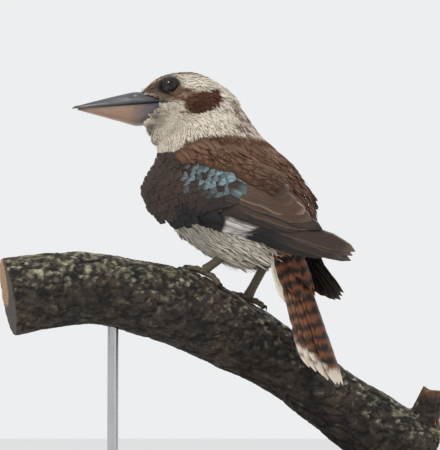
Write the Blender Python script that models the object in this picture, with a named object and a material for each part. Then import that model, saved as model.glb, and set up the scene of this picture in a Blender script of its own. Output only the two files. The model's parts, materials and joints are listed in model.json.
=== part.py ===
"""Laughing kookaburra on a cut length of branch, as a life-size museum model on a display stand.

Lengths are in millimetres and turned to metres when a mesh is made. World frame: X to the
right along the branch, Y away from the viewer, Z up, origin under the middle of the base.
Bird frame: x forward, y to the bird's left, z up, origin inside the belly above the feet.
"""

import math

import bmesh
import bpy
import numpy as np
from mathutils import Matrix, Vector, noise
from mathutils.bvhtree import BVHTree

MM = 0.001
GAP = 0.3

# Stand
BASE_LENGTH = 290.0
BASE_WIDTH = 165.0
BASE_HEIGHT = 18.0
BASE_CORNER = 60.0
BASE_BEVEL = 3.0
ROD_RADIUS = 4.5
ROD_X = (-88.0, 112.0)
FLANGE_RADIUS = 13.0
FLANGE_HEIGHT = 3.0

# Pose of the bird over the base
MIDDLE_HEIGHT = 243.0
BIRD_X = 7.0
BIRD_YAW = math.radians(150.0)

# Perch: a bent length of branch, given by its middle line seen from the front
PERCH_LINE = (
    (-173.0, -62.0), (-140.0, -56.0), (-108.0, -54.0), (-67.0, -61.0), (-30.0, -70.5),
    (0.0, -85.0), (28.0, -99.0), (62.0, -121.0), (100.0, -149.0), (140.0, -176.0),
    (170.0, -193.0),
)
PERCH_RADII = (32.0, 31.0, 29.5, 31.0, 31.5, 31.0, 29.0, 26.5, 28.0, 31.0, 33.0)
PERCH_PLAN_TURN = math.radians(13.0)
PERCH_RINGS = 38
PERCH_SIDES = 18
BARK_RELIEF = 2.0
BARK_WAVE = 26.0

# Head, in its own frame: x towards the bill, y to the left, z up
HEAD_AT = (-29.2, 17.0, 105.8)
HEAD_YAW = math.radians(180.0)
HEAD_DIP = math.radians(0.0)
# along, top, bottom, half width
HEAD_RINGS = (
    (46.0, 0.5, -14.5, 6.0),
    (40.0, 7.0, -21.0, 11.4),
    (30.0, 15.5, -25.5, 14.8),
    (23.0, 19.8, -26.8, 17.2),
    (16.0, 23.0, -27.4, 20.2),
    (4.0, 25.4, -28.2, 24.2),
    (-9.0, 24.0, -28.0, 26.4),
    (-21.0, 19.2, -26.0, 25.8),
    (-33.0, 12.4, -21.0, 21.5),
    (-42.0, 4.2, -14.0, 13.5),
)
HEAD_BACK = -47.0

# Bill, in the head frame: along, culmen, mouth line, keel, half width above, half width below
BILL_RINGS = (
    (18.0, 5.4, -1.6, -15.5, 16.2, 15.4),
    (31.0, 6.2, -2.6, -19.5, 15.8, 15.0),
    (40.0, 7.6, -3.3, -21.2, 13.6, 12.8),
    (54.0, 5.2, -4.4, -17.6, 10.4, 9.7),
    (70.0, 1.4, -5.4, -13.2, 7.0, 6.4),
    (82.0, -1.6, -5.8, -9.9, 4.1, 3.5),
    (89.0, -3.6, -6.1, -7.9, 2.2, 1.5),
)
UPPER_TIP = (95.5, -6.7)
LOWER_TIP = (90.8, -6.9)
NOSTRIL_AT = (43.0, 11.9, 3.2)
NOSTRIL_SIZE = (3.6, 1.9, 0.9)

EYE_AT = (11.7, 15.6, 11.5)
EYE_RADIUS = 7.2
LID_RADIUS = 6.5
LID_THICKNESS = 1.1

# Torso and neck rings in the bird frame:
# back x, back z, belly x, belly z, half width, turn to the left
TORSO_RINGS = (
    (-69.5, -18.5, -47.5, -34.0, 17.0, 0.0),
    (-75.5, -3.0, -39.0, -38.0, 25.5, 0.0),
    (-72.5, 18.0, -28.0, -38.5, 34.5, 0.0),
    (-62.5, 39.0, -13.0, -36.0, 41.0, 0.0),
    (-48.0, 56.5, 8.0, -30.0, 45.0, 0.0),
    (-35.0, 68.0, 31.0, -16.0, 46.0, 0.0),
    (-27.0, 75.5, 50.5, 0.5, 45.0, 0.0),
    (-21.5, 81.0, 63.0, 24.0, 42.0, 0.0),
    (-18.0, 86.5, 69.5, 46.0, 38.0, 2.0),
    (-14.5, 91.0, 70.5, 63.0, 34.0, 5.0),
    (-11.0, 96.0, 64.5, 82.0, 29.0, 12.0),
    (-7.5, 101.5, 54.0, 98.0, 25.0, 19.0),
    (-4.0, 108.0, 46.0, 112.0, 20.0, 26.0),
)
BACK_FULLNESS = 0.57
NECK_CUT = ((18.0, 45.5), 72.0)
HEAD_CUT = ((25.0, 70.0), 84.0)

# Folded wing in the bird frame, seen from the side: the line from wrist to tip
WING_WRIST = (54.5, 36.0)
WING_TIP = (-128.0, -33.0)
# along from the wrist, lateral place, height above and below the line
WING_RINGS = (
    (-3.0, 42.0, 9.0, 2.0),
    (4.0, 45.5, 23.0, 8.0),
    (14.0, 48.5, 30.0, 16.5),
    (30.0, 50.0, 35.0, 21.5),
    (50.0, 50.5, 39.0, 21.5),
    (68.0, 49.0, 41.0, 18.5),
    (86.0, 46.0, 39.5, 14.5),
    (104.0, 41.0, 34.0, 12.0),
    (124.0, 35.0, 29.0, 11.0),
    (146.0, 28.5, 22.0, 8.5),
    (170.0, 20.0, 13.0, 6.5),
    (188.0, 15.5, 6.5, 5.0),
    (198.0, 14.0, 2.5, 2.5),
)
CORE_END = 150.0
CORE_INSET = 5.0
WING_THICKNESS = 10.0
WING_ON_BODY = 1.4
TOP_CURL = 0.6
EDGE_CURL = 0.12
WING_DROOP = {"left": 0.0, "right": 13.0}
DROOP_FROM = 30.0
DROOP_FULL = 150.0
WING_DRAW_IN = {"left": 1.0, "right": 0.97}
WING_PIVOT = (40.0, 45.0)

# Rows of wing feathers, lowest tier first. Each row runs from its first feather, at the lower
# edge, to its last: count, roots (along, up), tips (along, up), half widths, tier, rise
WING_ROWS = (
    ("primaries", 6, (66.0, -10.0), (72.0, 5.0), (158.5, -8.0), (190.5, 3.6), 6.7, 7.1, -0.6, 3.7),
    ("primary_coverts", 3, (12.0, -10.0), (24.0, -4.0), (52.0, -18.0), (78.0, -10.0), 6.4, 5.6, 1.8, 1.6),
    ("secondaries", 7, (54.0, -13.0), (66.0, 14.0), (100.0, -11.0), (156.0, 13.0), 7.2, 6.6, 1.3, 3.2),
    ("tertials", 3, (64.0, 18.0), (76.0, 27.0), (147.0, 18.0), (128.0, 27.0), 8.0, 7.6, 5.0, 1.8),
    ("greater", 7, (34.0, -11.0), (60.0, 25.0), (68.0, -13.0), (104.0, 24.0), 5.6, 6.6, 3.4, 2.6),
    ("median", 6, (16.0, -8.0), (42.0, 27.0), (43.0, -14.5), (80.0, 29.0), 5.8, 6.8, 5.0, 2.2),
    ("lesser", 6, (3.0, -5.0), (24.0, 28.0), (25.0, -11.5), (57.0, 33.0), 5.6, 6.6, 6.4, 1.8),
    ("scapulars", 5, (26.0, 33.0), (74.0, 37.0), (64.0, 35.0), (122.0, 31.0), 8.8, 9.4, 5.6, 2.0),
    ("scapulars_upper", 4, (12.0, 36.0), (48.0, 44.0), (42.0, 39.0), (94.0, 42.5), 9.0, 9.0, 6.8, 1.6),
)
VANE_THICKNESS = 0.75
VANE_TILT = 0.12
VANE_STEPS = (0.0, 0.5, 0.88, 1.0)
VANE_WIDTHS = (0.55, 1.0, 0.72, 0.16)

# Tail in the bird frame: the ridge runs down from its root
TAIL_ROOT = (-63.0, -19.0)
TAIL_SLOPE = math.radians(68.9)
TAIL_LENGTH = 123.0
TAIL_SPREAD = 24.5
TAIL_ROOF = 8.0
TAIL_STEPS = 21.0
TAIL_FEATHER_HALF_WIDTH = 8.2
TAIL_LAYER = 1.1

# Legs: hip in the bird frame, foot seen from the front, both as the photograph shows them
HIPS = {"left": (-10.0, 19.0, -25.0), "right": (-31.0, -14.0, -27.0)}
FEET_X = {"left": -14.0, "right": 22.0}
FEET_OFF_RIDGE = {"left": -5.0, "right": 3.0}
TARSUS_RADIUS = 3.6
TOE_RADIUS = 2.7


def clear_scene():
    """Remove every object that the scene starts with."""
    for obj in list(bpy.data.objects):
        bpy.data.objects.remove(obj)


def material(name, colour, roughness, metallic=0.0):
    """A Principled material."""
    made = bpy.data.materials.new(name)
    made.use_nodes = True
    shader = made.node_tree.nodes["Principled BSDF"]
    shader.inputs["Base Color"].default_value = (*colour, 1.0)
    shader.inputs["Roughness"].default_value = roughness
    shader.inputs["Metallic"].default_value = metallic
    return made


def smooth_rows(rows, count):
    """Rows of sizes along a body, resampled on a smooth curve through them."""
    rows = np.array(rows, float)
    steps = np.linalg.norm(np.diff(rows[:, :2], axis=0), axis=1)
    places = np.concatenate([[0.0], np.cumsum(steps)])
    slopes = np.gradient(rows, places, axis=0)
    result = []
    for place in np.linspace(0.0, places[-1], count):
        k = min(int(np.searchsorted(places, place, side="right")) - 1, len(places) - 2)
        h = places[k + 1] - places[k]
        t = (place - places[k]) / h
        result.append(
            (2 * t**3 - 3 * t**2 + 1) * rows[k]
            + (t**3 - 2 * t**2 + t) * h * slopes[k]
            + (3 * t**2 - 2 * t**3) * rows[k + 1]
            + (t**3 - t**2) * h * slopes[k + 1]
        )
    return result


def mesh_object(name, points, faces, paint=None):
    """An object from points in millimetres, its faces split into triangles and turned out."""
    mesh = bpy.data.meshes.new(name)
    mesh.from_pydata([Vector(p) * MM for p in points], [], faces)
    made = bmesh.new()
    made.from_mesh(mesh)
    bmesh.ops.remove_doubles(made, verts=made.verts, dist=1e-6)
    bmesh.ops.triangulate(made, faces=[f for f in made.faces if len(f.verts) > 3])
    bmesh.ops.recalc_face_normals(made, faces=made.faces)
    made.to_mesh(mesh)
    made.free()
    obj = bpy.data.objects.new(name, mesh)
    bpy.context.scene.collection.objects.link(obj)
    if paint:
        mesh.materials.append(paint)
    return obj


def tube_faces(rings, sides):
    """Quads between closed rings of points, as index tuples."""
    faces = []
    for r in range(rings - 1):
        for s in range(sides):
            a, b = r * sides + s, r * sides + (s + 1) % sides
            faces.append((a, b, b + sides, a + sides))
    return faces


def loft(name, rings, paint=None):
    """A closed body through rings of points. A ring may be one point at either end."""
    points, faces = [], []
    first_point = rings[0] if len(rings[0]) == 1 else None
    last_point = rings[-1] if len(rings[-1]) == 1 else None
    body = [r for r in rings if len(r) > 1]
    sides = len(body[0])
    for ring in body:
        points.extend(ring)
    faces = tube_faces(len(body), sides)
    end = (len(body) - 1) * sides
    for pole, start in ((first_point, 0), (last_point, end)):
        if pole:
            points.append(pole[0])
            tip = len(points) - 1
            faces.extend((start + s, start + (s + 1) % sides, tip) for s in range(sides))
        else:
            faces.append(tuple(range(start, start + sides)))
    return mesh_object(name, points, faces, paint)


def oval(centre, side, up, half_width, above, below, sides, power=2.0):
    """A ring of points: an oval with its own height above and below the centre."""
    ring = []
    for k in range(sides):
        angle = 2 * math.pi * k / sides
        c, s = math.cos(angle), math.sin(angle)
        across = math.copysign(abs(c) ** (2 / power), c) * half_width
        height = math.copysign(abs(s) ** (2 / power), s) * (above if s > 0 else below)
        ring.append(Vector(centre) + Vector(side) * across + Vector(up) * height)
    return ring


def bird_matrix():
    """From the bird frame to the world, in millimetres."""
    return Matrix.Translation((BIRD_X, 0.0, MIDDLE_HEIGHT)) @ Matrix.Rotation(BIRD_YAW, 4, "Z")


def head_matrix():
    """From the head frame to the world, in millimetres."""
    at = Vector(HEAD_AT) + Vector((0.0, 0.0, MIDDLE_HEIGHT))
    turned = Matrix.Rotation(HEAD_YAW, 4, "Z") @ Matrix.Rotation(HEAD_DIP, 4, "Y")
    return Matrix.Translation(at) @ turned


BIRD = bird_matrix()
HEAD = head_matrix()
BODY_TREE = None


def boolean(target, others, operation, solver="EXACT"):
    """Join or cut target with other objects, apply it, and remove them."""
    group = bpy.data.collections.new("operands")
    bpy.context.scene.collection.children.link(group)
    for other in others:
        bpy.context.scene.collection.objects.unlink(other)
        group.objects.link(other)
    modifier = target.modifiers.new("join", "BOOLEAN")
    modifier.operation = operation
    modifier.operand_type = "COLLECTION"
    modifier.collection = group
    modifier.solver = solver
    bpy.context.view_layer.update()
    graph = bpy.context.evaluated_depsgraph_get()
    made = bpy.data.meshes.new_from_object(target.evaluated_get(graph))
    target.modifiers.remove(modifier)
    target.data = made
    for other in others:
        bpy.data.objects.remove(other)
    bpy.data.collections.remove(group)
    keep_largest(target)
    return target


def keep_largest(obj):
    """Keep the largest closed surface of a mesh, in triangles."""
    made = bmesh.new()
    made.from_mesh(obj.data)
    bmesh.ops.triangulate(made, faces=[f for f in made.faces if len(f.verts) > 3])
    made.verts.ensure_lookup_table()
    seen, islands = set(), []
    for vert in made.verts:
        if vert.index in seen:
            continue
        stack, island = [vert], []
        seen.add(vert.index)
        while stack:
            here = stack.pop()
            island.append(here)
            for edge in here.link_edges:
                there = edge.other_vert(here)
                if there.index not in seen:
                    seen.add(there.index)
                    stack.append(there)
        islands.append(island)
    islands.sort(key=lambda island: -spread(island))
    bmesh.ops.delete(made, geom=[v for island in islands[1:] for v in island], context="VERTS")
    bmesh.ops.recalc_face_normals(made, faces=made.faces)
    made.to_mesh(obj.data)
    made.free()


def spread(island):
    """The diagonal of the box round some vertices."""
    places = np.array([v.co for v in island])
    return float(np.linalg.norm(places.max(0) - places.min(0)))


def cut_plane(obj, at, normal, keep_front):
    """Cut a closed mesh by a plane, in millimetres, and keep one side of it."""
    size = 400.0
    normal = Vector(normal).normalized()
    away = -normal if keep_front else normal
    turned = away.to_track_quat("Z", "Y").to_matrix().to_4x4()
    place = Matrix.Translation(Vector(at)) @ turned
    corners = [
        place @ Vector((x, y, z))
        for z in (0.0, size) for x, y in ((-size, -size), (size, -size), (size, size), (-size, size))
    ]
    box = loft("slab", [corners[:4], corners[4:]])
    return boolean(obj, [box], "DIFFERENCE")


def copy_of(obj, name):
    """A separate copy of an object and its mesh."""
    made = bpy.data.objects.new(name, obj.data.copy())
    bpy.context.scene.collection.objects.link(made)
    return made


def settle_origin(obj):
    """Move the object's own origin to the middle of its box, leaving the shape in place."""
    places = np.array([v.co for v in obj.data.vertices])
    middle = Vector((places.max(0) + places.min(0)) / 2)
    obj.data.transform(Matrix.Translation(-middle))
    obj.location = middle


def torso_loft(grown=0.0, rings=22, sides=24, name="torso"):
    """The whole body and neck, from the tail root to the inside of the head."""
    made = []
    for back_x, back_z, belly_x, belly_z, wide, turn in smooth_rows(TORSO_RINGS, rings):
        turned = Matrix.Rotation(math.radians(turn), 3, "Z")
        side = turned @ Vector((0.0, 1.0, 0.0))
        back, belly = Vector((back_x, 0.0, back_z)), Vector((belly_x, 0.0, belly_z))
        place = belly.lerp(back, BACK_FULLNESS)
        up = turned @ (back - belly).normalized()
        above = (back - belly).length * (1.0 - BACK_FULLNESS) + grown
        below = (back - belly).length * BACK_FULLNESS + grown
        ring = oval(place, side, up, wide + grown, above, below, sides, 2.2)
        made.append([BIRD @ p for p in ring])
    for end, inner in ((0, 1), (-1, -2)):
        middle = sum(made[end], Vector()) / sides
        behind = sum(made[inner], Vector()) / sides
        away = (middle - behind).normalized()
        cap = [middle + (p - middle) * 0.55 + away * 3.5 for p in made[end]]
        if end == 0:
            made.insert(0, cap)
        else:
            made.append(cap)
    return loft(name, made)


def head_loft(grown=0.0, rings=16, sides=24, name="head"):
    """The head, from the back of the skull to the base of the bill."""
    made = []
    for along, top, bottom, wide in smooth_rows(HEAD_RINGS, rings):
        middle, half = (top + bottom) / 2, (top - bottom) / 2
        centre = Vector((along, 0.0, middle))
        made.append([
            HEAD @ p
            for p in oval(centre, (0, 1, 0), (0, 0, 1), wide + grown, half + grown, half + grown,
                          sides, 2.35)
        ])
    made.append([HEAD @ Vector((HEAD_BACK - grown, 0.0, -6.0))])
    return loft(name, made)


def bill_ring(along, top, mouth, keel, wide_above, wide_below, upper, grown):
    """One section of the upper or lower half of the bill."""
    if upper:
        wide, high, low = wide_above + grown, top + grown, mouth + GAP / 2 - grown
        shape = ((1.0, 0.0), (0.96, 0.25), (0.78, 0.62), (0.45, 0.9), (0.0, 1.0))
    else:
        wide, high, low = wide_below + grown, keel - grown, mouth - GAP / 2 + grown
        shape = ((1.0, 0.0), (0.99, 0.3), (0.84, 0.66), (0.5, 0.91), (0.0, 1.0))
    outline = [(w, low + (high - low) * h) for w, h in shape]
    left = [(w * wide, z) for w, z in outline]
    right = [(-w * wide, z) for w, z in reversed(outline[:-1])]
    return [HEAD @ Vector((along, y, z)) for y, z in left + right]


def bill_half(name, upper, grown=0.0, paint=None):
    """The upper or lower half of the bill, running to its tip."""
    rows = smooth_rows(BILL_RINGS, 11)
    rows[0][0] -= grown
    rings = [bill_ring(*row, upper, grown * 1.25) for row in rows]
    tip = UPPER_TIP if upper else LOWER_TIP
    rings.append([HEAD @ Vector((tip[0] + grown, 0.0, tip[1]))])
    return loft(name, rings, paint)


def ball(name, centre, radius, paint=None, rings=10, sides=16):
    """A closed sphere in world millimetres."""
    made = [[Vector(centre) + Vector((0, 0, radius))]]
    for r in range(1, rings):
        angle = math.pi * r / rings
        flat, high = math.sin(angle) * radius, math.cos(angle) * radius
        made.append(oval(Vector(centre) + Vector((0, 0, high)), (1, 0, 0), (0, 1, 0),
                         flat, flat, flat, sides))
    made.append([Vector(centre) - Vector((0, 0, radius))])
    return loft(name, made, paint)


def nostril(side):
    """The slit cut for a nostril in the side of the upper half of the bill."""
    along, across, high = NOSTRIL_AT
    long, deep, tall = NOSTRIL_SIZE
    made = ball("nostril", (0, 0, 0), 1.0, rings=5, sides=8)
    size = Matrix.Diagonal((long, deep, tall, 1.0))
    place = HEAD @ Matrix.Translation((along, side * across, high)) @ size
    shift = Matrix.Scale(MM, 4)
    made.data.transform(shift @ place @ shift.inverted())
    return made


def eye_place(side):
    """Centre of an eye in the world. Side is 1 for the left."""
    return HEAD @ Vector((EYE_AT[0], side * EYE_AT[1], EYE_AT[2]))


def lid_ring(side, sides=14, around=18):
    """The ring of the eyelids, drawn a little longer than it is high."""
    rings = []
    for k in range(around):
        angle = 2 * math.pi * k / around
        out = Vector((math.cos(angle), 0.0, math.sin(angle) * 0.9))
        place = Vector(EYE_AT) * 1.0
        place.y = side * (EYE_AT[1] + 3.9)
        place.x, place.z = EYE_AT[0] + out.x * LID_RADIUS, EYE_AT[2] + out.z * LID_RADIUS
        rings.append([
            HEAD @ (place + (out * math.cos(a) + Vector((0, side, 0)) * math.sin(a))
                    * LID_THICKNESS)
            for a in (2 * math.pi * s / 6 for s in range(6))
        ])
    points = [p for ring in rings for p in ring]
    faces = []
    for r in range(around):
        for s in range(6):
            a, b = r * 6 + s, r * 6 + (s + 1) % 6
            c, d = ((r + 1) % around) * 6 + s, ((r + 1) % around) * 6 + (s + 1) % 6
            faces.append((a, b, d, c))
    return mesh_object("lid", points, faces)


def perch_frame(along):
    """Middle, direction and radius of the branch at a share of its length, in the world."""
    rows = [(x, z, r) for (x, z), r in zip(PERCH_LINE, PERCH_RADII, strict=True)]
    count = 81
    table = np.array(smooth_rows(rows, count))
    place = along * (count - 1)
    here = min(int(place), count - 2)
    row = table[here] + (table[here + 1] - table[here]) * (place - here)
    step = table[here + 1] - table[here]
    turn = math.tan(PERCH_PLAN_TURN)
    middle = Vector((row[0], (row[0] - BIRD_X) * turn, row[1] + MIDDLE_HEIGHT))
    direction = Vector((step[0], step[0] * turn, step[1])).normalized()
    return middle, direction, row[2]


def bark_height(place):
    """How far the bark stands out at a place: low ridges along the branch."""
    p = Vector((place[0] / (2.2 * BARK_WAVE), place[1] / BARK_WAVE, place[2] / BARK_WAVE))
    return BARK_RELIEF * noise.noise(p) + 0.5 * BARK_RELIEF * noise.noise(p * 2.3)


def perch_loft(name, grown=0.0, paint=None):
    """The branch, with uneven bark and sawn ends."""
    rings = []
    for r in range(PERCH_RINGS):
        middle, direction, radius = perch_frame(r / (PERCH_RINGS - 1))
        side = direction.cross(Vector((0, 0, 1))).normalized()
        up = side.cross(direction)
        ring = []
        for k in range(PERCH_SIDES):
            angle = 2 * math.pi * k / PERCH_SIDES
            out = side * math.cos(angle) + up * math.sin(angle)
            reach = radius + bark_height(middle + out * radius) + grown
            ring.append(middle + out * reach)
        rings.append(ring)
    return loft(name, rings, paint)


def stub():
    """The broken end of a side shoot near the lower end of the branch."""
    foot = Vector((164.0, (164.0 - BIRD_X) * math.tan(PERCH_PLAN_TURN), -184.0 + MIDDLE_HEIGHT))
    way = Vector((0.30, -0.28, 0.91)).normalized()
    rings = []
    for k, (along, radius) in enumerate(((0, 15), (22, 14), (40, 11.5), (50, 10.0))):
        side = way.cross(Vector((0, 1, 0))).normalized()
        up = side.cross(way)
        ring = oval(foot + way * along, side, up, radius, radius, radius, 10)
        if k == 3:
            ring = [p + way * (3.5 * math.sin(2.1 * n) + 2.0 * math.cos(3.7 * n))
                    for n, p in enumerate(ring)]
        rings.append(ring)
    return loft("stub", rings)


def stand(paints, perch):
    """The flat base and the two rods that hold the branch."""
    corners = []
    for sx, sy, start in ((1, 1, 0), (-1, 1, 90), (-1, -1, 180), (1, -1, 270)):
        for k in range(7):
            angle = math.radians(start + 15 * k)
            corners.append((
                sx * (BASE_LENGTH / 2 - BASE_CORNER) + BASE_CORNER * math.cos(angle),
                sy * (BASE_WIDTH / 2 - BASE_CORNER) + BASE_CORNER * math.sin(angle),
            ))
    rings = []
    for inset, height in ((0.0, 0.0), (0.0, BASE_HEIGHT - BASE_BEVEL), (BASE_BEVEL, BASE_HEIGHT)):
        shrink_x = 1 - 2 * inset / BASE_LENGTH
        shrink_y = 1 - 2 * inset / BASE_WIDTH
        rings.append([Vector((x * shrink_x, y * shrink_y, height)) for x, y in corners])
    base = loft("stand_base", rings, paints["base"])
    rods = []
    for number, x in enumerate(ROD_X, 1):
        middle = min(
            (perch_frame(a / 200)[0] for a in range(201)), key=lambda p, x=x: abs(p.x - x)
        )
        foot = BASE_HEIGHT + GAP
        rings = [
            oval((x, middle.y, z), (1, 0, 0), (0, 1, 0), r, r, r, 20)
            for r, z in (
                (FLANGE_RADIUS, foot), (FLANGE_RADIUS, foot + FLANGE_HEIGHT * 0.6),
                (FLANGE_RADIUS - 1.5, foot + FLANGE_HEIGHT), (ROD_RADIUS, foot + FLANGE_HEIGHT),
                (ROD_RADIUS, middle.z),
            )
        ]
        rod = loft(f"stand_rod_{number}", rings, paints["rod"])
        cutter = perch_loft("cutter", GAP)
        boolean(rod, [cutter], "DIFFERENCE")
        rods.append(rod)
    return [base, *rods]


def torso_tree():
    """The torso's surface in the bird frame, in millimetres, for feathers to lie on."""
    body = torso_loft(name="body")
    inward = BIRD.inverted()
    points = [inward @ (v.co / MM) for v in body.data.vertices]
    faces = [tuple(p.vertices) for p in body.data.polygons]
    bpy.data.objects.remove(body)
    return BVHTree.FromPolygons(points, faces)


def torso_reach(x, z):
    """How far out the torso's left side is at a place seen from the side."""
    hit = BODY_TREE.ray_cast(Vector((x, 300.0, z)), Vector((0, -1, 0)))[0]
    return hit.y if hit else 0.0


def wing_point(along, up, lift, side):
    """A point of the folded wing's outer face, in the world.

    Along runs back from the wrist and up across the wing; lift is how far out of the face.
    """
    rows = np.array(WING_RINGS)
    lateral = np.interp(along, rows[:, 0], rows[:, 1])
    above = np.interp(along, rows[:, 0], rows[:, 2])
    below = np.interp(along, rows[:, 0], rows[:, 3])
    share = up / (above if up > 0 else below)
    curl = (TOP_CURL * above if up > 0 else EDGE_CURL * below) * share * share
    back = Vector((WING_TIP[0] - WING_WRIST[0], WING_TIP[1] - WING_WRIST[1])).normalized()
    reach = along * WING_DRAW_IN[side]
    x = WING_WRIST[0] + back.x * reach + back.y * up
    z = WING_WRIST[1] + back.y * reach - back.x * up
    bend = min(1.0, max(0.0, (along - DROOP_FROM) / (DROOP_FULL - DROOP_FROM)))
    turn = math.radians(WING_DROOP[side]) * bend
    dx, dz = x - WING_PIVOT[0], z - WING_PIVOT[1]
    x = WING_PIVOT[0] + dx * math.cos(turn) - dz * math.sin(turn)
    z = WING_PIVOT[1] + dx * math.sin(turn) + dz * math.cos(turn)
    y = max(lateral - curl, torso_reach(x, z) + WING_ON_BODY) + lift
    return BIRD @ Vector((x, y if side == "left" else -y, z))


def wing_core(name, side, paint):
    """The inside of the folded wing that all its feathers grow from."""
    rings = []
    for along, _lateral, above, below in smooth_rows(WING_RINGS, 14):
        if along > CORE_END:
            break
        top = max(above - CORE_INSET, 2.5)
        low = max(below - CORE_INSET * 0.6, 1.5)
        inset = along + (2.0 if not rings else 0.0)
        outer = [
            wing_point(inset, up, -0.5 + 3.0 * max(0.0, up / above), side)
            for up in np.linspace(-low, top, 9)
        ]
        depth = WING_THICKNESS * min(1.0, 0.12 + (CORE_END - along) / 110.0)
        inner = [wing_point(inset, up, -depth, side) for up in np.linspace(top, -low, 9)]
        rings.append(outer + inner)
    return loft(name, rings, paint)


def vane(path, half_width, place, tilt, thickness=VANE_THICKNESS):
    """One feather: a thin closed plate of four corners a ring, narrowing to its tip.

    Path gives the middle line, (along, across, lift) at each step, and place turns such a
    triple into a world point. Tilt raises one edge over the other, as shingles lie.
    """
    rings = []
    for k, (along, across, lift) in enumerate(path):
        width = half_width * VANE_WIDTHS[k]
        thick = thickness * (1.0 if k < len(path) - 1 else 0.8) / 2
        rings.append([
            place(along, across - width, lift + tilt * width + thick),
            place(along, across + width, lift - tilt * width + thick),
            place(along, across + width, lift - tilt * width - thick),
            place(along, across - width, lift + tilt * width - thick),
        ])
    points = [p for ring in rings for p in ring]
    faces = []
    for r in range(len(rings) - 1):
        a, b = r * 4, r * 4 + 4
        faces += [(a, b, b + 1), (a, b + 1, a + 1), (a + 3, a + 2, b + 2), (a + 3, b + 2, b + 3)]
        faces += [(a + 1, b + 1, b + 2), (a + 1, b + 2, a + 2)]
        faces += [(a, a + 3, b + 3), (a, b + 3, b)]
    end = (len(rings) - 1) * 4
    faces += [(0, 1, 2, 3), (end, end + 3, end + 2, end + 1)]
    return mesh_object("vane", points, faces)


def wing_vanes(side):
    """All feathers of one folded wing, tier over tier."""
    made = []
    place = lambda along, up, lift: wing_point(along, up, lift, side)
    for _name, count, root_a, root_b, tip_a, tip_b, wide_a, wide_b, tier, rise in WING_ROWS:
        for k in range(count):
            share = k / (count - 1)
            root = Vector(root_a).lerp(Vector(root_b), share)
            tip = Vector(tip_a).lerp(Vector(tip_b), share)
            wide = wide_a + (wide_b - wide_a) * share
            path = []
            for step in VANE_STEPS:
                spot = root.lerp(tip, step)
                bow = 1.6 * math.sin(math.pi * step)
                sink = -3.2 * (1.0 - min(1.0, step / 0.5))
                path.append((spot.x, spot.y + bow, tier + rise * share + sink))
            made.append(vane(path, wide, place, VANE_TILT))
    return made


def tail_place(along, across, lift):
    """A point of the tail: along its ridge from the root, across it, and lift above the roof."""
    back = Vector((-math.cos(TAIL_SLOPE), 0.0, -math.sin(TAIL_SLOPE)))
    dorsal = Vector((-math.sin(TAIL_SLOPE), 0.0, math.cos(TAIL_SLOPE)))
    drop = TAIL_ROOF * (abs(across) / 28.0) ** 1.4
    ridge = Vector((TAIL_ROOT[0], 0.0, TAIL_ROOT[1]))
    return BIRD @ (ridge + back * along + Vector((0, 1, 0)) * across + dorsal * (lift - drop))


def tail_core(name, paint):
    """The root of the tail, which carries its feathers."""
    rings = []
    for along, wide, top, low in ((-3, 14, 1.5, 13), (8, 15.5, 1.0, 11.5), (22, 16.5, 0.4, 8.5),
                                  (34, 15.5, 0.0, 6.0), (42, 13.0, -0.6, 4.6)):
        ring = []
        for k in range(16):
            angle = 2 * math.pi * k / 16
            c, s = math.cos(angle), math.sin(angle)
            lift = top * s if s > 0 else low * s
            ring.append(tail_place(along, wide * c, lift - 1.0))
        rings.append(ring)
    return loft(name, rings, paint)


def tail_vanes():
    """Twelve graduated tail feathers and the coverts over and under their roots."""
    made = []
    for side in (1, -1):
        for k in range(6):
            spread = 3.9 + (TAIL_SPREAD - 3.9) * k / 5
            length = TAIL_LENGTH - TAIL_STEPS * (k / 5) ** 1.3
            layer = -TAIL_LAYER * k + 0.55 * side - 1.0
            path = []
            for step in VANE_STEPS:
                fan = 0.45 + 0.55 * step
                path.append((length * step, side * spread * fan, layer))
            made.append(vane(path, TAIL_FEATHER_HALF_WIDTH, tail_place, 0.0, 0.75))
    for across, length, lift in ((-9.5, 30, 0.9), (9.5, 31, 1.1), (-4.5, 36, 1.9), (4.5, 37, 2.2),
                                 (0.0, 42, 3.1)):
        path = [(length * step, across * (0.8 + 0.4 * step), lift - 2.2 * (1 - step) ** 2)
                for step in VANE_STEPS]
        made.append(vane(path, 6.0, tail_place, 0.0, 0.8))
    for across, length, lift in ((-13, 34, -7.6), (13, 33, -7.8), (-7.5, 42, -8.7), (7.5, 43, -9.0),
                                 (0.0, 50, -10.2)):
        path = [(length * step, across * (0.8 + 0.3 * step), lift + 1.6 * step)
                for step in VANE_STEPS]
        made.append(vane(path, 6.5, tail_place, 0.0, 0.8))
    return made


def ground_on(tree, x, y):
    """The top of the branch under a place, and its normal, in millimetres."""
    hit, normal, _, _ = tree.ray_cast(Vector((x, y, 400.0)) * MM, Vector((0, 0, -1)))
    return hit / MM, normal


def limb(name, path, radii, sides=10, paint=None):
    """A tube along points, thick as its radii say."""
    rings = []
    for k, place in enumerate(path):
        ahead = path[min(k + 1, len(path) - 1)] - path[max(k - 1, 0)]
        ahead.normalize()
        side = ahead.cross(Vector((0.3, 0.9, 0.1))).normalized()
        up = side.cross(ahead)
        rings.append(oval(place, side, up, radii[k], radii[k], radii[k], sides))
    return loft(name, rings, paint)


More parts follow.
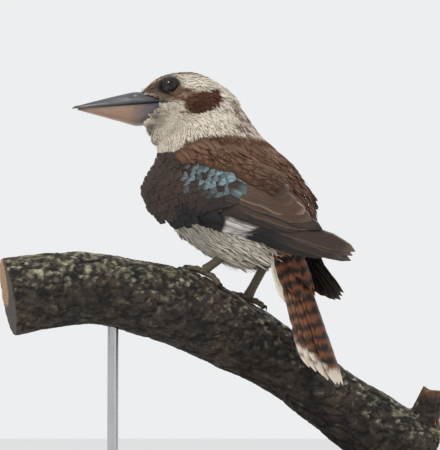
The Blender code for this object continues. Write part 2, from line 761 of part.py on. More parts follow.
def leg_and_foot(side, tree, paints):
    """One leg down to its foot on the branch, and the foot with its four toes."""
    sign = 1 if side == "left" else -1
    x = FEET_X[side]
    ridge, _ = ground_on(tree, x, (x - BIRD_X) * math.tan(PERCH_PLAN_TURN) + FEET_OFF_RIDGE[side])
    ankle = ridge + Vector((1.5, 0.0, 5.0))
    hip = BIRD @ Vector(HIPS[side])
    rise = (hip - ankle).normalized()
    reach = (hip - ankle).length
    path = [hip + rise * 7.0, hip, ankle + rise * (0.7 * reach), ankle + rise * 7.5,
            ankle + rise * 4.2]
    leg = limb(f"leg_{side}", path, (9.0, 9.0, 6.6, TARSUS_RADIUS + 0.4, TARSUS_RADIUS),
               12, paints["leg"])
    boolean(leg, [torso_loft(GAP, name="cutter")], "DIFFERENCE")
    heading = Vector((math.cos(BIRD_YAW), math.sin(BIRD_YAW), 0.0))
    pad = limb("pad", [ankle + rise * 3.8, ankle + rise * 1.5, ankle - Vector((0, 0, 1.4))],
               (TARSUS_RADIUS, TARSUS_RADIUS + 0.7, TARSUS_RADIUS), 12)
    toes = []
    for turn, length, thick in ((4.0, 27.0, 1.0), (-14.0, 23.0, 0.9), (26.0, 19.0, 0.85),
                                (176.0, 16.0, 1.0)):
        way = Matrix.Rotation(math.radians(sign * turn), 3, "Z") @ heading
        path, radii = [], []
        for k in range(8):
            share = k / 7
            spot = ankle + way * (length * share)
            on, normal = ground_on(tree, spot.x, spot.y)
            radius = TOE_RADIUS * thick * (1.0 - 0.25 * share)
            if k >= 6:
                radius *= 0.62 if k == 6 else 0.2
            lift = radius + 0.45 + (1.3 * math.sin(math.pi * min(1.0, share * 1.3)) if k < 7 else 0)
            path.append(on + normal * lift)
            radii.append(radius)
        path[0] = ankle - Vector((0, 0, 1.2))
        toes.append(limb("toe", path, radii, 8))
    foot = boolean(pad, toes, "UNION", "MANIFOLD")
    foot.name = f"foot_{side}"
    foot.data.materials.clear()
    foot.data.materials.append(paints["leg"])
    boolean(foot, [copy_of(tree_source(), "cutter")], "DIFFERENCE")
    return [leg, foot]


def tree_source():
    """The branch grown by the gap, kept hidden as a cutter."""
    return bpy.data.objects["perch_grown"]


def build():
    """Build every node of the model."""
    clear_scene()
    paints = {
        "base": material("base_wood", (0.06, 0.04, 0.03), 0.35),
        "rod": material("rod_steel", (0.55, 0.55, 0.56), 0.3, 1.0),
        "perch": material("bark", (0.12, 0.1, 0.08), 0.95),
        "head": material("head_feathers", (0.62, 0.56, 0.48), 0.9),
        "torso": material("body_feathers", (0.45, 0.36, 0.3), 0.9),
        "wing": material("wing_feathers", (0.1, 0.065, 0.05), 0.8),
        "tail": material("tail_feathers", (0.3, 0.13, 0.06), 0.8),
        "bill_upper": material("bill_dark", (0.06, 0.06, 0.07), 0.35),
        "bill_lower": material("bill_horn", (0.4, 0.3, 0.24), 0.35),
        "eye": material("eye_brown", (0.02, 0.012, 0.01), 0.05),
        "leg": material("leg_scales", (0.24, 0.22, 0.17), 0.6),
    }
    global BODY_TREE
    BODY_TREE = torso_tree()
    perch = perch_loft("perch", 0.0, paints["perch"])
    boolean(perch, [stub()], "UNION")
    grown = perch_loft("perch_grown", GAP)
    grown.hide_render = True
    grown.display_type = "WIRE"
    tree = BVHTree.FromObject(perch, bpy.context.evaluated_depsgraph_get())
    stand(paints, perch)

    whole = torso_loft(name="whole")
    boolean(whole, [head_loft()], "UNION")
    tail_way = Vector((-math.cos(TAIL_SLOPE), 0.0, -math.sin(TAIL_SLOPE)))
    turn = BIRD.to_3x3()
    tail_at = BIRD @ Vector((TAIL_ROOT[0], 0.0, TAIL_ROOT[1]))
    (nx, nz), neck_pitch = NECK_CUT
    (hx, hz), head_pitch = HEAD_CUT
    neck_at = BIRD @ Vector((nx, 0.0, nz))
    neck_up = turn @ Vector((math.cos(math.radians(neck_pitch)), 0, math.sin(math.radians(neck_pitch))))
    head_at = BIRD @ Vector((hx, 0.0, hz))
    head_up = turn @ Vector((math.cos(math.radians(head_pitch)), 0, math.sin(math.radians(head_pitch))))
    tail_normal = turn @ tail_way
    half = GAP / 2

    torso = copy_of(whole, "torso")
    cut_plane(torso, neck_at - neck_up * half, neck_up, False)
    cut_plane(torso, tail_at - tail_normal * half, tail_normal, False)
    torso.data.materials.append(paints["torso"])
    neck = copy_of(whole, "neck")
    cut_plane(neck, neck_at + neck_up * half, neck_up, True)
    cut_plane(neck, head_at - head_up * half, head_up, False)
    neck.data.materials.append(paints["head"])
    head = whole
    head.name = "head"
    cut_plane(head, head_at + head_up * half, head_up, True)
    head.data.materials.append(paints["head"])

    boolean(head, [lid_ring(1), lid_ring(-1)], "UNION")
    sockets = [ball("socket", eye_place(s), EYE_RADIUS + GAP) for s in (1, -1)]
    cutters = [bill_half("cut_upper", True, GAP), bill_half("cut_lower", False, GAP)]
    for cutter in sockets + cutters:
        boolean(head, [cutter], "DIFFERENCE")
    upper = bill_half("bill_upper", True, 0.0, paints["bill_upper"])
    boolean(upper, [nostril(1), nostril(-1)], "DIFFERENCE")
    bill_half("bill_lower", False, 0.0, paints["bill_lower"])
    ball("eye_left", eye_place(1), EYE_RADIUS, paints["eye"])
    ball("eye_right", eye_place(-1), EYE_RADIUS, paints["eye"])

    for side in ("left", "right"):
        wing = wing_core(f"wing_{side}", side, paints["wing"])
        boolean(wing, wing_vanes(side), "UNION", "MANIFOLD")
        boolean(wing, [torso_loft(GAP, name="cutter")], "DIFFERENCE", "MANIFOLD")
    tail = tail_core("tail", paints["tail"])
    boolean(tail, tail_vanes(), "UNION", "MANIFOLD")
    cut_plane(tail, tail_at + tail_normal * half, tail_normal, True)
    for side in ("left", "right"):
        leg_and_foot(side, tree, paints)
    bpy.data.objects.remove(tree_source())
    for obj in bpy.context.scene.objects:
        obj.data.shade_smooth()
        settle_origin(obj)


build()
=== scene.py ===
"""Looks of a laughing kookaburra, a life-size museum model on a cut length of branch.

Lengths are in millimetres until a mesh is made. World frame: X to the right along the branch,
Y away from the viewer, Z up, origin under the base. Bird frame: x forward, y to the bird's
left, z up, origin inside the belly. Head frame: x along the bill, y to the left, z up.
"""

from __future__ import annotations

import json
import logging
import math
from dataclasses import dataclass, field
from enum import Enum
from typing import Callable

import bpy
import numpy as np
from mathutils import Matrix, Vector, noise
from mathutils.bvhtree import BVHTree

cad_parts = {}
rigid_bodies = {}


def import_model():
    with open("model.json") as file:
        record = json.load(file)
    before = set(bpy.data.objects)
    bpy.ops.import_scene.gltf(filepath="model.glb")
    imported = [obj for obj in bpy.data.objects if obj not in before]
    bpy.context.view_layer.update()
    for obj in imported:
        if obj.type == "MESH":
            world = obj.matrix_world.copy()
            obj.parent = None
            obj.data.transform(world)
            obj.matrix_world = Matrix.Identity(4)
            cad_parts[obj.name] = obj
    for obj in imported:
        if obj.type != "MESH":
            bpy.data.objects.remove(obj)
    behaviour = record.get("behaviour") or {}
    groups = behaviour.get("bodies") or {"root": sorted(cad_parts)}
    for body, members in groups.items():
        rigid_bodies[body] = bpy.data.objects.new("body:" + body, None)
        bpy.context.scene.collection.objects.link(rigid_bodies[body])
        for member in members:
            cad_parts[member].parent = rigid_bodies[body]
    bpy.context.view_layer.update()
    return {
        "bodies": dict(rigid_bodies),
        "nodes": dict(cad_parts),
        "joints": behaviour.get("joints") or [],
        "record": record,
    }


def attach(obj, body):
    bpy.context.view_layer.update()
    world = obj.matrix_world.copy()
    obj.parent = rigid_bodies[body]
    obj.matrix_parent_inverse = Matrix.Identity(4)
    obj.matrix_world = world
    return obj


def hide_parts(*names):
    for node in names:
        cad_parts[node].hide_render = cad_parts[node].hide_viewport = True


LOG = logging.getLogger("kookaburra")
MM = 0.001
TINY = 1e-9
Array = np.ndarray

MIDDLE_HEIGHT = 243.0
BIRD_X = 7.0
BIRD_YAW = math.radians(150.0)
HEAD_AT = (-29.2, 17.0, 105.8)
PERCH_PLAN_TURN = math.radians(13.0)
EYE_AT = (11.7, 15.6, 11.5)
WRIST = (54.5, 36.0)
RAY_START = 300.0

BIRD = Matrix.Translation((BIRD_X, 0.0, MIDDLE_HEIGHT)) @ Matrix.Rotation(BIRD_YAW, 4, "Z")
HEAD = Matrix.Translation((*HEAD_AT[:2], HEAD_AT[2] + MIDDLE_HEIGHT)) @ Matrix.Rotation(
    math.pi, 4, "Z")


def rgb(red: int, green: int, blue: int) -> Array:
    """A colour given as it looks on a screen, turned to linear values."""
    value = np.array([red, green, blue]) / 255.0
    return np.where(value <= 0.04045, value / 12.92, ((value + 0.055) / 1.055) ** 2.4)


CREAM = rgb(226, 216, 200)
PALE = rgb(208, 199, 185)
GREY_BUFF = rgb(166, 157, 142)
STREAK = rgb(112, 100, 86)
EAR_BROWN = rgb(82, 54, 41)
RUFOUS_BAND = rgb(110, 80, 56)
EYE_DARK = rgb(34, 28, 26)
MANTLE = rgb(106, 77, 60)
MANTLE_DARK = rgb(76, 55, 46)
# Pale buff of the mantle, also used as painted light on its far side and on top of the shoulder
# feathers
MANTLE_PALE_AND_LIT = rgb(186, 158, 130)
COVERT = rgb(51, 40, 36)
COVERT_RIM = rgb(96, 80, 69)
BLUE_TIP = rgb(130, 158, 165)
WING_BLACK = rgb(24, 24, 27)
WING_BROWN = rgb(64, 49, 42)
WING_EDGE = rgb(150, 135, 118)
WING_WHITE = rgb(206, 200, 196)
TAIL_RUFOUS = rgb(112, 67, 41)
TAIL_BLACK = rgb(30, 23, 20)
TAIL_WHITE = rgb(212, 200, 184)
BELLY = rgb(214, 207, 194)
FLANK = rgb(170, 160, 144)


def world_mm(matrix: Matrix, points: Array) -> Array:
    """Turn points of a local frame into world millimetres."""
    rotation = np.array(matrix.to_3x3())
    return points @ rotation.T + np.array(matrix.translation)


def local_mm(matrix: Matrix, points: Array) -> Array:
    """Turn world millimetres into points of a local frame."""
    return world_mm(matrix.inverted(), points)


def smooth(value: Array, low: float, high: float) -> Array:
    """A smooth step from 0 at low to 1 at high."""
    t = np.clip((value - low) / (high - low), 0.0, 1.0)
    return t * t * (3.0 - 2.0 * t)


def spot(x: Array, z: Array, centre: tuple[float, float], size: tuple[float, float],
         turn: float = 0.0, soft: float = 0.35) -> Array:
    """A soft oval mask seen from the side.

    Args:
        x: first coordinate of each point.
        z: second coordinate of each point.
        centre: middle of the oval.
        size: half lengths of the oval.
        turn: its turn in degrees.
        soft: share of the size over which it fades.

    Returns:
        1 inside, 0 outside.
    """
    a = math.radians(turn)
    dx, dz = x - centre[0], z - centre[1]
    u = (dx * math.cos(a) + dz * math.sin(a)) / size[0]
    v = (-dx * math.sin(a) + dz * math.cos(a)) / size[1]
    return 1.0 - smooth(np.sqrt(u * u + v * v), 1.0 - soft, 1.0 + soft)


def mixed(first: Array, second: Array, share: Array | float) -> Array:
    """Blend two colours, or arrays of colours, by a share for each point."""
    return first + (second - first) * np.clip(share, 0.0, 1.0)[..., None]


def unit(rows: Array) -> Array:
    """Rows scaled to length one."""
    return rows / (np.linalg.norm(rows, axis=1)[:, None] + TINY)


def bell(value: Array, middle: float, width: float, power: int = 2) -> Array:
    """A bump of height 1 about a middle."""
    return np.exp(-(((value - middle) / width) ** power))


def waves(points: Array, scale: float, seed: int) -> Array:
    """Smooth noise, from a sum of turned waves.

    Args:
        points: where it is taken.
        scale: length of its waves.
        seed: picks the pattern.

    Returns:
        About -1 to 1 at each point.
    """
    rng = np.random.default_rng(seed * 7 + 11)
    total = np.zeros(len(points))
    for _ in range(7):
        way = rng.normal(size=3)
        way /= np.linalg.norm(way)
        total += np.sin(points @ way * (2 * math.pi / scale) * rng.uniform(0.6, 1.7)
                        + rng.uniform(0, 6.3))
    return total / 4.2


class Sock:
    """A shader socket that takes part in Python arithmetic."""

    def __init__(self, graph: "Graph", socket: bpy.types.NodeSocket) -> None:
        """Keep the graph that the socket belongs to."""
        self.graph = graph
        self.socket = socket

    def _math(self, operation: str, first: object, second: object = None) -> "Sock":
        """Add one Math node."""
        inputs = [first] if second is None else [first, second]
        return self.graph.add("ShaderNodeMath", {"operation": operation}, inputs)

    def __add__(self, other: object) -> "Sock":
        """Sum."""
        return self._math("ADD", self, other)

    __radd__ = __add__

    def __sub__(self, other: object) -> "Sock":
        """Difference."""
        return self._math("SUBTRACT", self, other)

    def __rsub__(self, other: object) -> "Sock":
        """Difference from a number."""
        return self._math("SUBTRACT", other, self)

    def __mul__(self, other: object) -> "Sock":
        """Product."""
        return self._math("MULTIPLY", self, other)

    __rmul__ = __mul__

    def __pow__(self, other: object) -> "Sock":
        """Power."""
        return self._math("POWER", self, other)

    def sine(self) -> "Sock":
        """Sine of the value in radians."""
        return self._math("SINE", self)

    def size(self) -> "Sock":
        """The value without its sign."""
        return self._math("ABSOLUTE", self)

    def part(self) -> "Sock":
        """The part after the decimal point."""
        return self._math("FRACT", self)

    def larger(self, other: object) -> "Sock":
        """The larger of two values."""
        return self._math("MAXIMUM", self, other)

    def step(self, low: float, high: float) -> "Sock":
        """A smooth step from 0 at low to 1 at high."""
        settings = {"interpolation_type": "SMOOTHSTEP"}
        return self.graph.add("ShaderNodeMapRange", settings, [self, low, high, 0.0, 1.0])


class Graph:
    """The node tree of one material, built from expressions."""

    MIX_INPUTS = (0, 6, 7)
    MIX_OUTPUT = 2

    def __init__(self, name: str) -> None:
        """Start a material with an empty tree and a Principled shader."""
        self.material = bpy.data.materials.new(name)
        self.material.use_nodes = True
        self.nodes = self.material.node_tree.nodes
        self.links = self.material.node_tree.links
        self.shader = self.nodes["Principled BSDF"]

    def join(self, value: object, socket: bpy.types.NodeSocket) -> None:
        """Link a value to a socket, or set it there.

        Args:
            value: another socket, a number or a colour.
            socket: where it goes.
        """
        if isinstance(value, Sock):
            self.links.new(value.socket, socket)
        elif isinstance(value, (int, float)):
            socket.default_value = value
        else:
            numbers = [float(v) for v in value]
            if len(socket.default_value) == 4 and len(numbers) == 3:
                numbers.append(1.0)
            socket.default_value = numbers

    def add(self, kind: str, settings: dict, inputs: list | dict, output: int | str = 0) -> Sock:
        """Add any node.

        Args:
            kind: the node's type.
            settings: its settings, set before its sockets.
            inputs: values or links, in order or by name.
            output: which output is returned.

        Returns:
            The output as an expression.
        """
        node = self.nodes.new(kind)
        for name, value in settings.items():
            if name == "stops":
                self._stops(node.color_ramp, value)
            else:
                setattr(node, name, value)
        pairs = inputs.items() if isinstance(inputs, dict) else enumerate(inputs)
        for key, value in pairs:
            self.join(value, node.inputs[key])
        return Sock(self, node.outputs[output])

    @staticmethod
    def _stops(ramp: bpy.types.ColorRamp, stops: list) -> None:
        """Set a ramp's stops from (place, colour) pairs."""
        while len(ramp.elements) < len(stops):
            ramp.elements.new(0.5)
        for element, (place, colour) in zip(ramp.elements, stops, strict=True):
            element.position = place
            element.color = (*[float(c) for c in colour], 1.0)

    def mix(self, share: object, first: object, second: object, blend: str = "MIX") -> Sock:
        """Mix two colours.

        Args:
            share: how much of the second is taken.
            first: one colour.
            second: the other colour.
            blend: how they are blended.

        Returns:
            The mixture as an expression.
        """
        settings = {"data_type": "RGBA", "blend_type": blend}
        inputs = dict(zip(self.MIX_INPUTS, (share, first, second), strict=True))
        return self.add("ShaderNodeMix", settings, inputs, self.MIX_OUTPUT)

    def tinted(self, colour: object, tint: tuple) -> Sock:
        """A colour multiplied by a tint."""
        return self.mix(1.0, colour, tint, "MULTIPLY")

    def place(self) -> Sock:
        """Object coordinates."""
        return self.add("ShaderNodeTexCoord", {}, [], "Object")

    def axes(self, vector: Sock) -> tuple[Sock, Sock, Sock]:
        """The three parts of a vector."""
        node = self.nodes.new("ShaderNodeSeparateXYZ")
        self.links.new(vector.socket, node.inputs[0])
        return tuple(Sock(self, output) for output in node.outputs)

    def vane(self) -> tuple[Sock, Sock]:
        """Place on a feather: across from 0 to 1, and along from 0 to 1."""
        across, along, _ = self.axes(self.add("ShaderNodeUVMap", {"uv_map": "vane"}, []))
        return across, along

    def attribute(self, name: str) -> Sock:
        """A colour kept on the mesh."""
        return self.add("ShaderNodeAttribute", {"attribute_name": name}, [], "Color")

    def noise(self, vector: object, scale: float, detail: float = 3.0, rough: float = 0.5,
              warp: float = 0.0) -> Sock:
        """Noise from 0 to 1.

        Args:
            vector: where it is taken.
            scale: how fine it is.
            detail: how many finer layers it has.
            rough: how strong those layers are.
            warp: how much it is bent.

        Returns:
            The noise as an expression.
        """
        inputs = {"Vector": vector, "Scale": scale, "Detail": detail, "Roughness": rough,
                  "Distortion": warp}
        return self.add("ShaderNodeTexNoise", {}, inputs)

    def scaled(self, vector: Sock, size: tuple[float, float, float]) -> Sock:
        """A vector stretched along each axis."""
        return self.add("ShaderNodeVectorMath", {"operation": "MULTIPLY"}, [vector, size])

    def surface(self, colour: object, roughness: object, **constants: float) -> None:
        """Set the shader's colour, roughness and any constant socket."""
        self.join(colour, self.shader.inputs["Base Color"])
        self.join(roughness, self.shader.inputs["Roughness"])
        for name, value in constants.items():
            self.shader.inputs[name.replace("_", " ")].default_value = value

    def bump(self, height: Sock, strength: float, depth: float) -> None:
        """Turn a height into a bumped normal."""
        inputs = {"Strength": strength, "Distance": depth, "Height": height}
        normal = self.add("ShaderNodeBump", {}, inputs, "Normal")
        self.join(normal, self.shader.inputs["Normal"])


@dataclass(frozen=True)
class Finish:
    """A procedural material with a name."""

    name: str

    def make(self) -> bpy.types.Material:
        """Make the material."""
        graph = Graph(self.name)
        self.draw(graph)
        return graph.material

    def draw(self, g: Graph) -> None:
        """Lay out the nodes, which each finish does in its own way."""
        raise NotImplementedError


@dataclass(frozen=True)
class VaneFinish(Finish):
    """Flight and covert feathers: barbs, a shaft and a worn edge."""

    roughness: float = 0.62
    barbs: float = 46.0
    shaft_width: float = 0.035
    shaft_dark: float = 0.55
    shine: float = 0.22

    def draw(self, g: Graph) -> None:
        """Lay out the nodes from the mesh's shade and rim colours."""
        across, along = g.vane()
        side = ((across - 0.5) * 2.0).size()
        shade, rim = g.attribute("shade"), g.attribute("rim")
        grain = g.noise(g.place(), 420.0, 3.0, 0.6)
        lines = ((along * self.barbs - side * 5.0) * (2 * math.pi)).sine() * 0.5 + 0.5
        edge = side.step(0.72, 1.0)
        tip = along.step(0.9, 1.0)
        border = edge.larger(tip) * (grain * 0.7 + 0.5)
        colour = g.mix(border, shade, rim)
        dull = g.tinted(colour, (0.72, 0.70, 0.68))
        colour = g.mix(lines * 0.3 + grain * 0.55, colour, dull)
        shaft = 1.0 - side.step(self.shaft_width * 0.5, self.shaft_width * 1.5)
        dark = g.tinted(colour, (self.shaft_dark,) * 3)
        colour = g.mix(shaft * (1.0 - along) * 0.85, colour, dark)
        g.surface(colour, grain * 0.2 + (self.roughness - 0.1), Specular_IOR_Level=self.shine)
        g.bump(lines * 0.35 + shaft * 1.2 + grain * 0.25, 0.5, 0.0003)


@dataclass(frozen=True)
class DownFinish(Finish):
    """Small body feathers: soft barbs, paler towards their free tips."""

    roughness: float = 0.9
    root_dark: float = 0.72
    edge_light: float = 1.12
    shine: float = 0.12

    def draw(self, g: Graph) -> None:
        """Lay out the nodes from the mesh's shade colour."""
        across, along = g.vane()
        shade = g.attribute("shade")
        side = ((across - 0.5) * 2.0).size()
        grain = g.noise(g.place(), 900.0, 2.0, 0.6)
        root = g.tinted(shade, (self.root_dark,) * 3)
        colour = g.mix(along.step(0.0, 0.65), root, shade)
        light = g.tinted(colour, (self.edge_light,) * 3)
        colour = g.mix(side.step(0.45, 1.0) * (grain * 0.8), colour, light)
        streak = ((across * 5.0 + along * 1.5) * (2 * math.pi)).sine() * 0.5 + 0.5
        dull = g.tinted(colour, (0.84, 0.83, 0.81))
        colour = g.mix(streak * grain * 0.9, colour, dull)
        g.surface(colour, self.roughness, Specular_IOR_Level=self.shine)
        g.bump(streak * 0.4 + grain * 0.4, 0.4, 0.0002)


@dataclass(frozen=True)
class SkinFinish(Finish):
    """The skin under the coat, in the coat's own colours, darker as painted shade between tufts.
    """

    name: str = "skin_under_coat"
    # Painted shade: how dark the skin is kept where it shows between the tufts
    gap_shadow: float = 0.72

    def draw(self, g: Graph) -> None:
        """Lay out the nodes."""
        fine = g.noise(g.place(), 700.0, 3.0)
        shade = g.attribute("shade")
        dark = g.tinted(shade, (self.gap_shadow,) * 3)
        g.surface(g.mix(fine, dark, shade), 0.95)
        g.bump(fine, 0.5, 0.0006)


@dataclass(frozen=True)
class HornFinish(Finish):
    """The horn of the bill: growth lines along it and fine scratches."""

    main: tuple
    edge: tuple
    base: tuple
    base_from: float = 0.030
    base_to: float = 0.052
    edge_height: float = 0.0
    roughness: float = 0.4

    def draw(self, g: Graph) -> None:
        """Lay out the nodes, coloured along the bill and across its height."""
        x, _, z = g.axes(g.place())
        along = HEAD_AT[0] * MM - x
        line = (HEAD_AT[2] + MIDDLE_HEIGHT) * MM + self.edge_height - along * 0.055
        off = (z - line).size()
        streaks = g.noise(g.scaled(g.place(), (60.0, 420.0, 420.0)), 3.0, 4.0, 0.6)
        mottle = g.noise(g.place(), 130.0, 3.0, 0.55)
        near_base = 1.0 - along.step(self.base_from, self.base_to)
        colour = g.mix(near_base * (mottle * 0.5 + 0.6), self.main, self.base)
        near_edge = 1.0 - off.step(0.0008, 0.0036)
        colour = g.mix(near_edge * 0.85, colour, self.edge)
        worn = g.tinted(colour, (0.66, 0.66, 0.68))
        colour = g.mix(streaks.step(0.42, 0.66) * 0.7, colour, worn)
        tip = along.step(0.080, 0.096)
        colour = g.mix(tip * 0.6, colour, (0.030, 0.028, 0.030))
        g.surface(colour, mottle * 0.22 + (self.roughness - 0.1), Coat_Weight=0.12)
        g.bump(streaks * 0.6 + mottle * 0.6, 0.35, 0.0004)


@dataclass(frozen=True)
class EyeFinish(Finish):
    """A dark wet eye: brown iris, black pupil, clear front."""

    centre: tuple

    def draw(self, g: Graph) -> None:
        """Lay out the nodes, ringed about the way the eye looks."""
        x, _, z = g.axes(g.place())
        dx, dz = x - self.centre[0], z - self.centre[2]
        ring = (dx * dx + dz * dz) ** 0.5
        rays = g.noise(g.scaled(g.place(), (1.0, 0.2, 1.0)), 1300.0, 2.0)
        iris = g.mix(rays, (0.008, 0.005, 0.003), (0.019, 0.010, 0.006))
        colour = g.mix(1.0 - ring.step(0.0027, 0.0031), iris, (0.002, 0.002, 0.002))
        colour = g.mix(ring.step(0.0050, 0.0058), colour, (0.004, 0.003, 0.003))
        g.surface(colour, 0.05, Specular_IOR_Level=0.32)


@dataclass(frozen=True)
class ScaleFinish(Finish):
    """Scales of the legs and toes, and the rough horn of claws and lid rims."""

    main: tuple
    seam: tuple
    rings: float = 34.0

    def draw(self, g: Graph) -> None:
        """Lay out the nodes: plates along the limb from its vane map."""
        _, along = g.vane()
        cells = g.add("ShaderNodeTexVoronoi", {"feature": "DISTANCE_TO_EDGE"},
                      {"Vector": g.place(), "Scale": 620.0, "Randomness": 0.85}, "Distance")
        plates = (along * self.rings).part()
        seam = 1.0 - (plates - 0.5).size().step(0.34, 0.48)
        crack = cells.step(0.0, 0.09)
        grain = g.noise(g.place(), 260.0, 4.0, 0.6)
        height = seam * 0.6 + crack * 0.4
        colour = g.mix(height, self.seam, self.main)
        pale = g.tinted(colour, (1.25, 1.22, 1.15))
        colour = g.mix(grain.step(0.45, 0.75) * 0.7, colour, pale)
        g.surface(colour, grain * 0.25 + 0.5)
        g.bump(height, 0.7, 0.00035)


@dataclass(frozen=True)
class BarkFinish(Finish):
    """Old bark with dark cracks and grey, green and cream lichen."""

    name: str = "bark_with_lichen"

    def draw(self, g: Graph) -> None:
        """Lay out the nodes from the mesh's shade colour and fine noise."""
        shade = g.attribute("shade")
        place = g.place()
        fine = g.noise(place, 330.0, 6.0, 0.68)
        grit = g.noise(place, 1100.0, 4.0, 0.7)
        dark = g.tinted(shade, (0.42, 0.40, 0.38))
        light = g.tinted(shade, (1.55, 1.52, 1.46))
        colour = g.mix(fine.step(0.36, 0.62), dark, shade)
        colour = g.mix(fine.step(0.58, 0.74) * 0.75, colour, light)
        colour = g.mix(grit.step(0.35, 0.6) * 0.45, colour, dark)
        g.surface(colour, 0.95)
        g.bump(fine + grit * 0.5, 0.9, 0.0012)


@dataclass(frozen=True)
class SawnFinish(Finish):
    """The sawn ends of the branch: rings, rays and saw marks."""

    centre: tuple

    def draw(self, g: Graph) -> None:
        """Lay out the nodes with rings about the pith."""
        _, y, z = g.axes(g.place())
        dy, dz = y - self.centre[1], z - self.centre[2]
        wobble = g.noise(g.place(), 45.0, 3.0)
        radius = (dy * dy + dz * dz) ** 0.5 + wobble * 0.004
        rings = ((radius * 2300.0).sine() * 0.5 + 0.5) ** 2.0
        saw = ((z * 3.0 + y * 1.2) * 1900.0 + wobble * 9.0).sine() * 0.5 + 0.5
        colour = g.mix(rings, rgb(150, 118, 84), rgb(104, 76, 52))
        colour = g.mix(radius.step(0.0245, 0.0275), colour, rgb(52, 42, 34))
        colour = g.mix(wobble.step(0.5, 0.8) * 0.5, colour, rgb(88, 66, 48))
        g.surface(colour, 0.85)
        g.bump(saw * 0.4 + rings * 0.5, 0.5, 0.0004)


@dataclass(frozen=True)
class StainedWoodFinish(Finish):
    """The display base: dark stained wood with a satin finish."""

    name: str = "stained_wood"

    def draw(self, g: Graph) -> None:
        """Lay out the nodes with its grain along X."""
        place = g.place()
        warp = g.noise(place, 5.0, 2.0)
        grain = g.noise(g.scaled(place, (9.0, 150.0, 150.0)), 1.0, 5.0, 0.62, 0.6)
        pores = g.noise(g.scaled(place, (60.0, 900.0, 900.0)), 1.0, 2.0)
        stops = [(0.30, rgb(38, 25, 19)), (0.55, rgb(70, 46, 33)), (0.78, rgb(96, 66, 46))]
        colour = g.add("ShaderNodeValToRGB", {"stops": stops}, [grain + (warp - 0.5) * 0.35])
        dark = g.tinted(colour, (0.45, 0.43, 0.42))
        colour = g.mix(pores.step(0.56, 0.7) * 0.8, colour, dark)
        g.surface(colour, grain * 0.14 + 0.3, Coat_Weight=0.15, Coat_Roughness=0.25)
        g.bump(grain * 0.5 - pores.step(0.56, 0.7) * 0.5, 0.25, 0.0003)


@dataclass(frozen=True)
class SteelFinish(Finish):
    """The display rods: brushed steel, turned round the rod."""

    name: str = "brushed_steel"

    def draw(self, g: Graph) -> None:
        """Lay out the nodes."""
        brush = g.noise(g.scaled(g.place(), (40.0, 40.0, 3500.0)), 1.0, 3.0)
        smear = g.noise(g.place(), 60.0, 3.0)
        colour = g.mix(brush * 0.6 + smear * 0.3, rgb(150, 151, 153), rgb(196, 197, 199))
        g.surface(colour, brush * 0.12 + smear * 0.12 + 0.2, Metallic=1.0)
        g.bump(brush, 0.15, 0.0001)


@dataclass(frozen=True)
class FloorFinish(Finish):
    """The pale studio floor."""

    name: str = "studio_floor"

    def draw(self, g: Graph) -> None:
        """Lay out the nodes."""
        faint = g.noise(g.place(), 3.0, 2.0)
        g.surface(g.mix(faint, (0.83, 0.83, 0.83), (0.86, 0.86, 0.86)), 0.85)


def read_rows(items: bpy.types.bpy_prop_collection, key: str, kind: type = np.float32) -> Array:
    """Read a value of three numbers from every item of a mesh, a row each."""
    values = np.empty(len(items) * 3, kind)
    items.foreach_get(key, values)
    return values.reshape(-1, 3)


def move_points(obj: bpy.types.Object, points: Array) -> None:
    """Put an object's points at places in millimetres."""
    obj.data.vertices.foreach_set("co", (points * MM).astype(np.float32).ravel())


def paint(mesh: bpy.types.Mesh, name: str, colours: Array) -> None:
    """Keep a named colour at every point of a mesh."""
    rows = np.concatenate([colours, np.ones((len(colours), 1))], axis=1)
    layer = mesh.attributes.new(name, "FLOAT_COLOR", "POINT")
    layer.data.foreach_set("color", rows.astype(np.float32).ravel())


